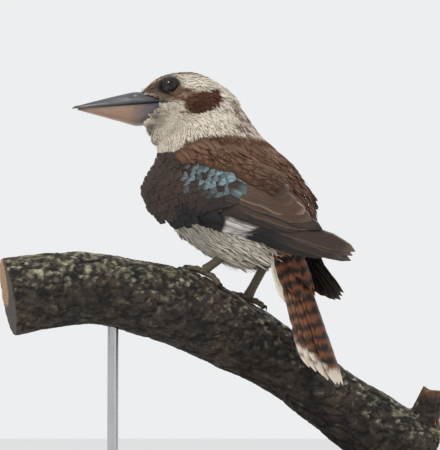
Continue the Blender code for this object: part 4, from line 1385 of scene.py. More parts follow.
@dataclass
class Wing:
    """A folded wing: a filling under tiers of vanes.

    Its places are (along, up, lift): along from the wrist to the tip, up across the wing, and
    lift off its outside. rings gives along, distance from the bird's middle, height above and
    depth below the line from wrist to tip.
    """

    side: Side
    body: BVHTree
    droop: float
    draw_in: float
    tip: tuple = (-128.0, -33.0)
    rings: tuple = (
        (-3.0, 42.0, 9.0, 2.0), (4.0, 45.5, 23.0, 8.0), (14.0, 48.5, 30.0, 16.5),
        (30.0, 50.0, 35.0, 21.5), (50.0, 50.5, 39.0, 21.5), (68.0, 49.0, 41.0, 18.5),
        (86.0, 46.0, 39.5, 14.5), (104.0, 41.0, 34.0, 12.0), (124.0, 35.0, 29.0, 11.0),
        (146.0, 28.5, 22.0, 8.5), (170.0, 20.0, 13.0, 6.5), (188.0, 15.5, 6.5, 5.0),
        (198.0, 14.0, 2.5, 2.5),
    )
    pivot: tuple = (40.0, 45.0)
    top_curl: float = 0.6
    edge_curl: float = 0.12
    on_body: float = 1.0
    sink: float = 3.0
    covert: VaneForm = VaneForm(0.25, 0.02, 0.03, 0.12)
    rows: tuple = (
        VaneRow(Group.PRIMARIES, 8, ((66, -11), (74, 6)), ((154, -8.5), (191, 3.6)), (6.6, 7.0),
                -0.8, 3.5, VaneForm(0.45), 22),
        VaneRow(Group.SECONDARIES, 10, ((54, -14), (66, 15)), ((98, -11.5), (160, 13)),
                (7.0, 6.6), 1.0, 3.2, VaneForm(0.3), 20),
        VaneRow(Group.TERTIALS, 5, ((60, 17), (84, 31)), ((150, 16), (122, 27)), (7.6, 7.6),
                4.4, 1.8, VaneForm(0.1), 18),
        VaneRow(Group.PRIMARY_COVERTS, 5, ((16, -10), (34, -3)), ((54, -18.5), (86, -8)),
                (6.2, 5.8), 2.0, 1.2, VaneForm(0.4), 14),
        VaneRow(Group.GREATER_COVERTS, 12, ((32, -11), (66, 27)), ((66, -13.5), (108, 25)),
                (5.0, 6.0), 3.2, 2.0, VaneForm(0.1), 14),
    )

    def size(self, along: Array | float, column: int) -> Array:
        """A column of the rings at places along the wing."""
        table = np.array(self.rings)
        return np.interp(along, table[:, 0], table[:, column])

    def place(self, rows: Array) -> Array:
        """Lay wing places on the bird.

        Args:
            rows: rows of (along, up, lift).

        Returns:
            World millimetres.
        """
        line = np.array(self.tip) - np.array(WRIST)
        line /= np.linalg.norm(line)
        along, up, lift = rows.T
        lateral, above, below = (self.size(along, column) for column in (1, 2, 3))
        share = np.where(up > 0, up / above, up / below)
        curl = np.where(up > 0, self.top_curl * above, self.edge_curl * below) * share**2
        x = WRIST[0] + line[0] * along * self.draw_in + line[1] * up
        z = WRIST[1] + line[1] * along * self.draw_in - line[0] * up
        turn = math.radians(self.droop) * np.clip((along - 30.0) / 120.0, 0, 1)
        dx, dz = x - self.pivot[0], z - self.pivot[1]
        x = self.pivot[0] + dx * np.cos(turn) - dz * np.sin(turn)
        z = self.pivot[1] + dx * np.sin(turn) + dz * np.cos(turn)
        reach = np.zeros(len(x))
        for k, (ahead, high) in enumerate(zip(x, z, strict=True)):
            hit = self.body.ray_cast(Vector((ahead, RAY_START, high)), Vector((0, -1, 0)))[0]
            reach[k] = hit.y + self.on_body if hit else 0.0
        y = self.side.sign * (np.maximum(lateral - curl, reach) + lift)
        return world_mm(BIRD, np.stack([x, y, z], 1))

    @staticmethod
    def ground(group: Group, share: float, along: Array, luck: float) -> tuple[Array, Array]:
        """Plain colours of one feather, before its marks.

        Args:
            group: the group it is in.
            share: its place in the row, from 0 at the lowest.
            along: wing places along, a point each.
            luck: a random number from -1 to 1 for this feather.

        Returns:
            Base and rim colours, a row for each point.
        """
        base, rim = COVERT, COVERT_RIM
        if group is Group.PRIMARIES:
            band = smooth(along, 118.0, 150.0) * share
            base = mixed(WING_BLACK * 1.15, WING_BROWN * 1.1, 0.75 * band)
            rim = mixed(WING_BLACK * 2.2, WING_EDGE * 0.6, 0.7 * band)
        elif group is Group.SECONDARIES:
            high = min(1.0, max(0.0, share * 2.0 - 0.75))
            base = mixed(WING_BLACK * 1.2, WING_BROWN * 0.95, high)
            rim = mixed(WING_BLACK * 2.2, WING_EDGE * 0.5, high * (luck > 0.2))
        elif group is Group.TERTIALS:
            base = mixed(WING_BROWN, MANTLE, 0.35) * (0.8 + 0.25 * share)
            rim = WING_EDGE * (0.9 if luck > 0.2 else 0.4)
        elif group is Group.PRIMARY_COVERTS:
            base, rim = WING_BLACK, WING_BLACK * 1.7
        shape = (len(along), 3)
        return np.broadcast_to(base, shape), np.broadcast_to(rim, shape)

    def shade(self, group: Group, share: float, along: Array, up: Array, u: Array, s: Array,
              luck: float) -> tuple[Array, Array]:
        """Base and rim colours of one feather.

        Args:
            group: the group it is in.
            share: its place in the row, from 0 at the lowest.
            along: wing places along, a point each.
            up: wing places across, a point each.
            u: places across the vane, from -1 to 1.
            s: places along the vane, from 0 to 1.
            luck: a random number from -1 to 1 for this feather.

        Returns:
            Base and rim colours, a row for each point.
        """
        base, rim = self.ground(group, share, along, luck)
        if group in (Group.GREATER_COVERTS, Group.SMALL_COVERTS):
            end = int(np.argmax(s))
            a, b = along[end:end + 1], up[s > 0.999].mean(keepdims=True)
            blue = np.max([spot(a, b, (77, 27), (23, 15), 0, 0.3),
                           spot(a, b, (96, 31), (17, 12), 0, 0.3),
                           spot(a, b, (108, 22), (14, 9), 0, 0.3)], axis=0)
            fleck = spot(a, b, (57, 21), (16, 14), 0, 0.4) * (luck > 0.05)
            blue = float(np.maximum(blue * (luck > -0.82), 0.7 * fleck)[0])
            form = smooth(s, 0.5, 0.74) * (0.75 + 0.25 * np.abs(u))
            streaks = 0.72 + 0.28 * np.sin(u * 8.0 + luck * 5.0 + s * 2.0)
            tone = BLUE_TIP * (0.84 + 0.30 * luck)
            base = mixed(base, tone, blue * form * streaks)
            rim = mixed(rim, tone, blue * 0.8 * smooth(s, 0.5, 0.75))
            # Painted shade: the coverts low near the wrist and low in the middle of the wing are
            # darkened almost to black
            dark = smooth(-b, 1.0, 6.0) * smooth(a, 42.0, 54.0)
            dark = np.maximum(dark, 0.6 * smooth(a, 58.0, 74.0) * (1 - smooth(b, 6.0, 16.0)))
            base = mixed(base, WING_BLACK * 1.1, float(dark[0]) * 0.92)
            rim = mixed(rim, WING_BLACK * 1.8, float(dark[0]) * 0.92)
        if group not in (Group.TERTIALS, Group.PRIMARY_COVERTS):
            patch = smooth(along, 86.0, 89.5) * (1 - smooth(along - up, 115.0, 119.0))
            patch *= 1 - smooth(up, -4.0, -2.0)
            bars = 0.8 + 0.2 * np.sin(up * 2.1 + luck)
            base = mixed(base, WING_WHITE, patch * bars)
            rim = mixed(rim, WING_WHITE * 0.4, patch)
        vary = 0.2 if group is Group.SMALL_COVERTS else 0.1
        return base * (1.0 + vary * luck), rim

    def lay(self, sheet: VaneSheet, group: Group, share: float, path: Array, wide: float,
            form: VaneForm, rng: np.random.Generator) -> None:
        """Add one feather to the sheet, coloured by where it lies on the wing.

        Args:
            sheet: gathers the feathers.
            group: the group it is in.
            share: its place in the row, from 0 at the lowest.
            path: its middle line, rows of (along, up, lift).
            wide: half its width.
            form: its shape.
            rng: random draws.
        """
        luck = float(rng.uniform(-1, 1))
        u, s = sheet.grid(len(path))
        along, up = (np.repeat(path[:, column], sheet.columns) for column in (0, 1))
        colours = self.shade(group, share, along, up + u * wide, u, s, luck)
        sheet.add(path, wide, self.place, colours, form, rng)

    def coverts(self, sheet: VaneSheet, rng: np.random.Generator) -> None:
        """Add the small coverts, in staggered rows from back to front.

        Args:
            sheet: gathers the feathers.
            rng: random draws.
        """
        found = []
        for number, along in enumerate(np.arange(80.0, -1.0, -5.6)):
            above, below = (float(self.size(along + 6.0, column)) for column in (2, 3))
            start = -below + (2.4 if number % 2 else 0.0)
            for up in np.arange(start, above - 1.0, 4.9):
                if along > 62.0 + up * 0.75 or up > 24.0 + 0.25 * along:
                    continue
                root = (along + rng.normal(0, 0.8), up + rng.normal(0, 0.5))
                reach = 12.5 + 3.5 * along / 80.0 + rng.normal(0, 0.7)
                fall = 3.2 - 0.08 * (up + below) + rng.normal(0, 0.4)
                drop = -max(0.0, fall) + rng.normal(0, 0.9)
                tier = 5.2 + 1.2 * (1.0 - smooth(np.array(along), 10.0, 80.0)) + 0.012 * up
                found.append((root, reach, drop, 3.5 + 0.9 * along / 80.0, float(tier)))
        s = np.linspace(0, 1, 9)
        for root, reach, drop, wide, tier in found:
            lift = tier - 1.1 * (1 - smooth(s, 0.0, 0.95)) + 0.15 * rng.normal() * s**2
            path = np.stack([root[0] + reach * s, root[1] + drop * s**1.5, lift], 1)
            self.lay(sheet, Group.SMALL_COVERTS, 0.5, path, wide, self.covert, rng)

    def build(self, finish: bpy.types.Material,
              rng: np.random.Generator) -> list[bpy.types.Object]:
        """Build the wing's vanes and its filling.

        Args:
            finish: the feathers' material.
            rng: random draws.

        Returns:
            The pieces made.
        """
        sheet = VaneSheet(cells=16)
        self.coverts(sheet, rng)
        for row in self.rows:
            s = np.linspace(0, 1, row.steps)
            for share in (k / (row.count - 1) for k in range(row.count)):
                root, tip = row.between(row.roots, share), row.between(row.tips, share)
                if row.group is Group.PRIMARIES:
                    tip = np.array([150.0 + 40.5 * min(1.0, share * 1.5),
                                    -8.0 + 12.0 * max(0.0, (share - 0.35) / 0.65)])
                tip = tip + rng.normal(0, 0.8, 2)
                wide = row.between(row.widths, share) * rng.uniform(0.95, 1.08)
                bow = 1.8 * np.sin(math.pi * s) * (1 + 0.3 * rng.normal())
                lift = row.tier + row.rise * share - self.sink * (1 - smooth(s, 0.0, 0.55))
                lift = lift + 0.5 * rng.normal() * s**2
                path = np.stack([root[0] + (tip[0] - root[0]) * s,
                                 root[1] + (tip[1] - root[1]) * s + bow, lift], 1)
                self.lay(sheet, row.group, share, path, wide, row.form, rng)
        vanes = sheet.parts.make(f"feathers_wing_{self.side.value}", finish)
        return [vanes, self.filling(finish)]

    def shoulder(self, rng: np.random.Generator) -> tuple[Array, Array, Array, Array]:
        """Where the mantle's small feathers lie over the top of the wing.

        Args:
            rng: random draws.

        Returns:
            Roots, normals, ways and colours of the feathers.
        """
        along = rng.uniform(6.0, 102.0, 1500)
        share = rng.random(len(along))
        up = self.size(along + 8.0, 2) - 3.5 + 13.0 * share + 1.5 * np.sin(along * 0.21)
        kept = along > 12.0 + 1.1 * np.maximum(up - 24.0, 0.0)
        along, up, share = along[kept], up[kept], share[kept]
        rows = np.stack([along, up, 6.2 - 0.012 * along + 0.8 * share], 1)
        roots = self.place(rows)
        ways = self.place(rows + np.array([2.0, -0.35, 0.0])) - roots
        normals = np.cross(ways, self.place(rows + np.array([0.0, 2.0, 0.0])) - roots)
        outward = roots - self.place(rows - np.array([0.0, 0.0, 2.0]))
        normals *= np.sign((normals * outward).sum(1))[:, None]
        luck = rng.uniform(0, 1, len(along))
        rear = smooth(along, 66.0, 100.0) * (1.0 - 0.6 * share)
        colours = mixed(MANTLE, MANTLE_DARK, 0.15 + 0.4 * luck)
        # Painted highlight: the feathers grow a little paler the higher they lie
        colours = mixed(colours, MANTLE_PALE_AND_LIT, 0.14 * share)
        colours = mixed(colours, WING_BROWN * 1.1, 0.7 * rear)
        # Painted light: the right wing, on the far side, gets paler shoulder feathers
        if self.side is Side.RIGHT:
            colours = mixed(colours, MANTLE_PALE_AND_LIT, 0.25)
        return roots, unit(normals), unit(ways), colours

    def filling(self, finish: bpy.types.Material) -> bpy.types.Object:
        """The body of the wing under its vanes, darkened as painted shade.

        Args:
            finish: the feathers' material.

        Returns:
            The piece.
        """
        rings = []
        for along, _, above, below in smooth_rows(self.rings, 20):
            if along > 150.0:
                break
            top, low = max(above - 5.0, 2.5), max(below - 3.0, 1.5)
            depth = 10.0 * min(1.0, 0.12 + (150.0 - along) / 110.0)
            ups = np.linspace(-low, top, 12)
            at = along + 2.0 * (not rings)
            outer = [(at, up, -0.6 + 2.6 * max(0.0, up / above)) for up in ups]
            inner = [(at, up, -depth) for up in ups[::-1]]
            rings.append(self.place(np.array(outer + inner)))
        parts = MeshParts()
        # Painted shade: the filling is darker than the coverts and is seen only between the vanes
        parts.add_tube(rings, colour=COVERT * 0.6)
        return parts.make(f"wing_core_{self.side.value}", finish)


@dataclass
class Tail:
    """The folded tail: twelve graduated feathers with coverts over and under their roots.

    coverts gives across, length and lift of each, and whether it is a pale one under the tail.
    """

    root: tuple = (-63.0, -19.0)
    slope: float = math.radians(68.9)
    length: float = 123.0
    inner: float = 3.9
    spread: float = 24.5
    roof: float = 8.0
    shorter: float = 21.0
    half_width: float = 8.3
    covert_half_width: float = 6.6
    layer: float = 1.0
    bar_spacing: float = 11.0
    feather: VaneForm = VaneForm(0.15, 0.0, 0.05, 0.55)
    covert: VaneForm = VaneForm(0.1, 0.0, 0.12)
    coverts: tuple = (
        (-11, 30, 0.6, False), (11, 31, 0.7, False), (-7, 36, 1.4, False),
        (7, 37, 1.6, False), (-3, 43, 2.2, False), (3, 44, 2.5, False), (0, 36, 3.3, False),
        (19, 40, -3.6, False), (15.5, 46, -2.2, False), (12.5, 52, -0.6, False),
        (-19, 38, -3.4, False), (-15.5, 45, -2.0, False),
        (20.5, 50, -8.4, True), (17.5, 43, -7.6, True),
        (-13, 36, -7.4, True), (13, 35, -7.6, True), (-8, 44, -8.4, True),
        (8, 45, -8.7, True), (0, 52, -9.8, True),
    )
    core: tuple = ((-4, 13, 0.5, 12), (8, 14, 0.2, 10.5), (22, 15, -0.2, 8),
                   (34, 14, -0.6, 5.5), (42, 11.5, -1.0, 4.2))

    def place(self, rows: Array) -> Array:
        """Lay tail places on the bird.

        Args:
            rows: rows of (along, across, lift).

        Returns:
            World millimetres.
        """
        along, across, lift = rows.T
        back = np.array([-math.cos(self.slope), 0.0, -math.sin(self.slope)])
        dorsal = np.array([-math.sin(self.slope), 0.0, math.cos(self.slope)])
        drop = self.roof * (np.abs(across) / 28.0) ** 1.4
        points = np.array([self.root[0], 0.0, self.root[1]]) + along[:, None] * back
        points = points + across[:, None] * np.array([0.0, 1.0, 0.0])
        return world_mm(BIRD, points + (lift - drop)[:, None] * dorsal)

    def build(self, finish: bpy.types.Material,
              rng: np.random.Generator) -> list[bpy.types.Object]:
        """Build the tail's vanes and its root.

        Args:
            finish: the feathers' material.
            rng: random draws.

        Returns:
            The pieces made.
        """
        sheet = VaneSheet(cells=7)
        s = np.linspace(0, 1, 34)
        for k, side in ((k, side) for k in range(5, -1, -1) for side in (-1, 1)):
            share = k / 5
            reach = self.inner + (self.spread - self.inner) * share
            length = self.length - self.shorter * share**1.3 + rng.normal(0, 0.8)
            lift = np.full(34, -self.layer * k + 0.5 * side - 1.0) + 0.3 * rng.normal() * s**2
            path = np.stack([length * s, side * reach * (0.45 + 0.55 * s), lift], 1)
            colours = self.shade(*sheet.grid(len(s)), length, share, rng)
            sheet.add(path, self.half_width, self.place, colours, self.feather, rng)
        s = np.linspace(0, 1, 14)
        for across, length, lift, low in self.coverts:
            bend = 1.6 * s if low else -2.2 * (1 - s) ** 2
            path = np.stack([length * s - 3.0, across * (0.8 + 0.35 * s), lift + bend], 1)
            grid = sheet.grid(len(s))
            if low:
                tone = np.tile(BELLY * rng.uniform(0.85, 1.05), (len(grid[0]), 1))
                colours = (tone, tone * 1.1)
            else:
                colours = self.shade(*grid, length, 0.0, rng, False)
            sheet.add(path, self.covert_half_width, self.place, colours, self.covert, rng)
        rings = []
        angle = np.linspace(0, 2 * math.pi, 18, endpoint=False)
        for along, wide, top, low in self.core:
            lift = np.where(np.sin(angle) > 0, top, low) * np.sin(angle) - 1.2
            rings.append(self.place(np.stack([np.full(18, along), wide * np.cos(angle), lift], 1)))
        parts = MeshParts()
        # Painted shade: the tail's root, seen only between the coverts, is half as bright as the
        # rufous
        parts.add_tube(rings, colour=TAIL_RUFOUS * 0.5)
        return [sheet.parts.make("feathers_tail", finish), parts.make("tail_core", finish)]

    def shade(self, u: Array, s: Array, length: float, outer: float, rng: np.random.Generator,
              tipped: bool = True) -> tuple[Array, Array]:
        """Barred rufous with a pale tip, paler on the outer feathers.

        Args:
            u: places across the vane, from -1 to 1.
            s: places along the vane, from 0 to 1.
            length: the feather's length.
            outer: 0 for the middle feathers, 1 for the outermost.
            rng: random draws.
            tipped: whether it has the pale tip.

        Returns:
            Base and rim colours, a row for each point.
        """
        shift = rng.uniform(-1.5, 1.5)
        tone = 0.92 + 0.12 * rng.uniform(-1, 1)
        along, side = s * length, np.abs(u)
        wave = np.sin((along + shift - 2.5 * side) * (2 * math.pi / self.bar_spacing)
                      + 0.5 * np.sin(along * 0.7 + u * 3.0))
        ground = mixed(TAIL_RUFOUS * tone, TAIL_WHITE, 0.10 * outer * smooth(side, 0.2, 0.9))
        base = mixed(ground, TAIL_BLACK, smooth(wave, -0.35, 0.15) * (1 - 0.25 * outer))
        ragged = along + 1.6 * np.sin(u * 4.0 + shift * 3.0)
        tip = length - (13.0 + 8.0 * outer)
        flecks = smooth(np.sin(along * 1.35 + 2.2 * side + shift), 0.72, 0.95)
        end = smooth(ragged, tip - 1.0, tip + 2.0)
        end = end * (1.0 - 0.75 * flecks * smooth(length - along, 5.0, 8.0)) * tipped
        base = mixed(base, TAIL_WHITE, end * 0.92)
        return base, mixed(base * 1.15, TAIL_WHITE, 0.25 * end)


@dataclass
class Bill:
    """The two halves of the bill, with nostrils.

    rings gives along, top, mouth line, keel, and half widths above and below the mouth line.
    """

    rings: tuple = (
        (18.0, 5.4, -1.6, -15.5, 14.6, 13.4), (31.0, 6.2, -2.6, -19.5, 14.7, 13.3),
        (40.0, 7.6, -3.3, -21.0, 13.1, 12.0), (54.0, 5.2, -4.4, -17.6, 10.4, 9.7),
        (70.0, 1.4, -5.4, -13.2, 7.0, 6.4), (82.0, -1.6, -5.8, -9.9, 4.1, 3.5),
        (89.0, -3.6, -6.1, -7.9, 2.2, 1.5),
    )
    upper_tip: tuple = (95.5, -6.7)
    lower_tip: tuple = (90.8, -6.9)
    lip: float = 0.18
    nostril: tuple = (43.0, 3.0)

    def rows(self, upper: bool) -> Array:
        """The rings resampled, with the rounding of the tip added.

        Args:
            upper: True for the upper half.

        Returns:
            Rows like those of rings.
        """
        rows = smooth_rows(self.rings, 40)
        reach, middle = self.upper_tip if upper else self.lower_tip
        end = []
        for t in (0.35, 0.65, 0.86, 0.97):
            keep = math.sqrt(1 - t * t)
            along = rows[-1][0] + (reach - rows[-1][0]) * t
            heights = [middle + (height - middle) * keep for height in rows[-1][1:4]]
            end.append([along, *heights, *(rows[-1][4:] * keep)])
        return np.concatenate([rows, end])

    def half(self, upper: bool, material: bpy.types.Material) -> bpy.types.Object:
        """Build one half of the bill.

        Args:
            upper: True for the upper half.
            material: its finish.

        Returns:
            The piece.
        """
        angle = np.linspace(0, math.pi, 25)
        sign = 1 if upper else -1
        rings = []
        for along, top, mouth, keel, wide_above, wide_below in self.rows(upper):
            wide, high = (wide_above, top) if upper else (wide_below, keel)
            low = mouth + sign * self.lip
            w = np.cos(angle)
            y = wide * (np.sign(w) * np.abs(w) ** (0.80 if upper else 0.72))
            z = low + (high - low) * np.abs(np.sin(angle)) ** (1.12 if upper else 0.95)
            if upper:
                slot = bell(along, self.nostril[0], 3.0, 4) * bell(z, self.nostril[1], 0.8)
                y = y - np.sign(y) * (slot * 1.5)
                groove = bell(z, 1.0 - 0.045 * (along - 40), 1.1)
                y = y - np.sign(y) * 0.35 * groove * smooth(np.array(along), 44.0, 52.0)
            ring = [(along, a, b) for a, b in zip(y, z, strict=True)]
            rings.append(ring + [(along, wide * b, low + 0.5 * sign * (1 - b * b))
                                 for b in np.linspace(-1, 1, 7)[1:-1]])
        parts = MeshParts()
        parts.add_tube(rings, HEAD)
        return parts.make("bill_top" if upper else "bill_bottom", material)


@dataclass
class Eyes:
    """Both eyes, each a ball with a slight swell at its clear front, and their lids."""

    radius: float = 7.2
    swell: float = 0.5
    lid_radius: float = 6.3
    lid_thick: float = 0.85
    lid_out: float = 3.9

    def build(self, side: Side) -> list[bpy.types.Object]:
        """Build one eye.

        Args:
            side: which one.

        Returns:
            The eye and its lid ring.
        """
        at = np.array(EYE_AT) * (1, side.sign, 1)
        rings, around = [], 40
        turn = np.linspace(0, 2 * math.pi, around, endpoint=False)
        for polar in np.linspace(0.02, math.pi - 0.02, 28):
            out = math.cos(polar)
            reach = self.radius + self.swell * max(0.0, out) ** 6
            flat = reach * math.sin(polar)
            rings.append(np.stack([
                EYE_AT[0] + flat * np.cos(turn),
                np.full(around, side.sign * (EYE_AT[1] + reach * out)),
                EYE_AT[2] + flat * np.sin(turn),
            ], 1))
        parts = MeshParts()
        parts.add_tube(rings, HEAD)
        centre = world_mm(HEAD, at[None])[0] * MM
        finish = EyeFinish(f"eye_{side.value}", tuple(centre))
        return [parts.make(f"eyeball_{side.value}", finish.make()), self.lid(side)]

    def lid(self, side: Side) -> bpy.types.Object:
        """The bare dark rim of the lids, a closed ring.

        Args:
            side: which eye it is on.

        Returns:
            The piece.
        """
        around, sides = 48, 10
        middle = np.array([EYE_AT[0], side.sign * (EYE_AT[1] + self.lid_out), EYE_AT[2]])
        points, chart, quads = [], [], []
        for k in range(around):
            a = 2 * math.pi * k / around
            out = np.array([math.cos(a), 0.0, 0.92 * math.sin(a)])
            bead = 1.0 + 0.16 * math.sin(17 * a)
            for s in range(sides):
                b = 2 * math.pi * s / sides
                rim = out * math.cos(b) + np.array([0, side.sign * math.sin(b), 0])
                points.append(middle + out * self.lid_radius + rim * self.lid_thick * bead)
                chart.append((s / sides, k / around))
                here, n, t = k * sides, (k + 1) % around * sides, (s + 1) % sides
                quads.append((here + s, here + t, n + t, n + s)[::-side.sign])
        parts = MeshParts()
        parts.add(world_mm(HEAD, np.array(points)), quads, [], {}, {"vane": np.array(chart)})
        finish = ScaleFinish(f"lid_skin_{side.value}", rgb(30, 26, 25), rgb(14, 12, 12), 30.0)
        return parts.make(f"lids_{side.value}", finish.make())


@dataclass
class Foot:
    """One leg below the belly, with scaled toes and claws that grip the branch.

    toes gives each toe's turn in degrees, its length and its thickness.
    """

    side: Side
    tree: BVHTree
    hip: tuple
    at_x: float
    off_ridge: float
    tarsus: float = 3.6
    toe_radius: float = 2.7
    toes: tuple = ((4.0, 27.0, 1.0), (-14.0, 23.0, 0.9), (26.0, 19.0, 0.85), (176.0, 16.0, 1.0))

    def ground(self, x: float, y: float) -> tuple[Array, Array]:
        """The branch's top under a place, and its normal."""
        hit, normal, _, _ = self.tree.ray_cast(Vector((x, y, 400.0)), Vector((0, 0, -1)))
        return np.array(hit), np.array(normal)

    @staticmethod
    def tube(path: Array, radii: Array, sides: int) -> list[Array]:
        """Rings of a limb.

        Args:
            path: its middle line.
            radii: its radius at each point of the line.
            sides: points of a ring.

        Returns:
            The rings.
        """
        rings = []
        turn = np.linspace(0, 2 * math.pi, sides, endpoint=False)[:, None]
        for k, radius in enumerate(radii):
            ahead = path[min(k + 1, len(path) - 1)] - path[max(k - 1, 0)]
            ahead = ahead / np.linalg.norm(ahead)
            side = np.cross(ahead, (0.3, 0.9, 0.1))
            side /= np.linalg.norm(side)
            up = np.cross(side, ahead)
            rings.append(path[k] + radius * (side * np.cos(turn) + up * np.sin(turn)))
        return rings

    def leg(self, ankle: Array) -> MeshParts:
        """The leg from the belly down to its ankle, with a row of scutes.

        Args:
            ankle: where it ends, in world millimetres.

        Returns:
            Its mesh.
        """
        hip = world_mm(BIRD, np.array([self.hip]))[0]
        rise = (hip - ankle) / np.linalg.norm(hip - ankle)
        share = np.linspace(0, 1, 44)
        path = hip + rise * 4.0 + np.outer(share, (ankle + rise * 0.6) - (hip + rise * 4.0))
        thick = 6.6 - 3.0 * smooth(share, 0.0, 0.42)
        scutes = 1.0 + 0.05 * np.abs(np.sin(share * math.pi * 11))
        parts = MeshParts()
        parts.add_tube(self.tube(path, thick * scutes * (1.0 + 0.16 * bell(share, 1.0, 0.12)), 18))
        return parts

    def toe(self, ankle: Array, way: Array, length: float, thick: float) -> tuple[list, list]:
        """One toe on the branch and its claw.

        Args:
            ankle: where it starts, in world millimetres.
            way: where it points.
            length: its length.
            thick: its thickness as a share of the usual.

        Returns:
            Rings of the toe and rings of the claw.
        """
        path, radii = [], []
        for t in np.linspace(0, 0.82, 30):
            on, normal = self.ground(*(ankle + way * (length * t))[:2])
            joints = 0.09 * math.cos(t * 3.2 * 2 * math.pi)
            radius = self.toe_radius * thick * (1.0 - 0.22 * t) * (1.0 + joints)
            radius *= 1.0 + 0.03 * math.sin(t * 60)
            lift = radius * 0.9 + 0.3 + 1.3 * math.sin(math.pi * min(1.0, t * 1.3))
            path.append(on + normal * lift)
            radii.append(radius)
        path[0] = ankle - np.array([0, 0, 1.0])
        path[1] = path[0] * 0.5 + path[2] * 0.5
        on, normal = self.ground(*(ankle + way * (length * 1.02))[:2])
        steps = np.linspace(0, 1, 14)
        claw = [path[-2] * (1 - t) + (on - normal * 0.2) * t
                + normal * (2.6 * math.sin(math.pi * t * 0.9)) for t in steps]
        size = radii[-1] * 0.8 * (1 - steps**1.3) + 0.16
        return self.tube(np.array(path), radii, 14), self.tube(np.array(claw), size, 10)

    def build(self, skin: bpy.types.Material,
              horn: bpy.types.Material) -> list[bpy.types.Object]:
        """Build the leg, the foot and the claws.

        Args:
            skin: the scales' material.
            horn: the claws' material.

        Returns:
            The pieces made.
        """
        y = (self.at_x - BIRD_X) * math.tan(PERCH_PLAN_TURN) + self.off_ridge
        ankle = self.ground(self.at_x, y)[0] + np.array([1.5, 0.0, 5.0])
        heading = np.array([math.cos(BIRD_YAW), math.sin(BIRD_YAW), 0.0])
        foot, claws = MeshParts(), MeshParts()
        for turn, length, thick in self.toes:
            a = math.radians(self.side.sign * turn)
            way = np.array([heading[0] * math.cos(a) - heading[1] * math.sin(a),
                            heading[0] * math.sin(a) + heading[1] * math.cos(a), 0.0])
            for parts, rings in zip((foot, claws), self.toe(ankle, way, length, thick),
                                    strict=True):
                parts.add_tube(rings)
        pad = ankle - np.array([0.0, 0.0, 1.0])
        turn = np.linspace(0, 2 * math.pi, 16, endpoint=False)
        rings = []
        for polar in np.linspace(0.1, math.pi - 0.1, 9):
            flat = (self.tarsus + 1.0) * math.sin(polar)
            rings.append(np.stack([pad[0] + flat * np.cos(turn), pad[1] + flat * np.sin(turn),
                                   np.full(16, pad[2] + 3.6 * math.cos(polar))], 1))
        foot.add_tube(rings, chart_size=0.1)
        name = self.side.value
        return [self.leg(ankle).make(f"tarsus_{name}", skin), foot.make(f"toes_{name}", skin),
                claws.make(f"claws_{name}", horn)]


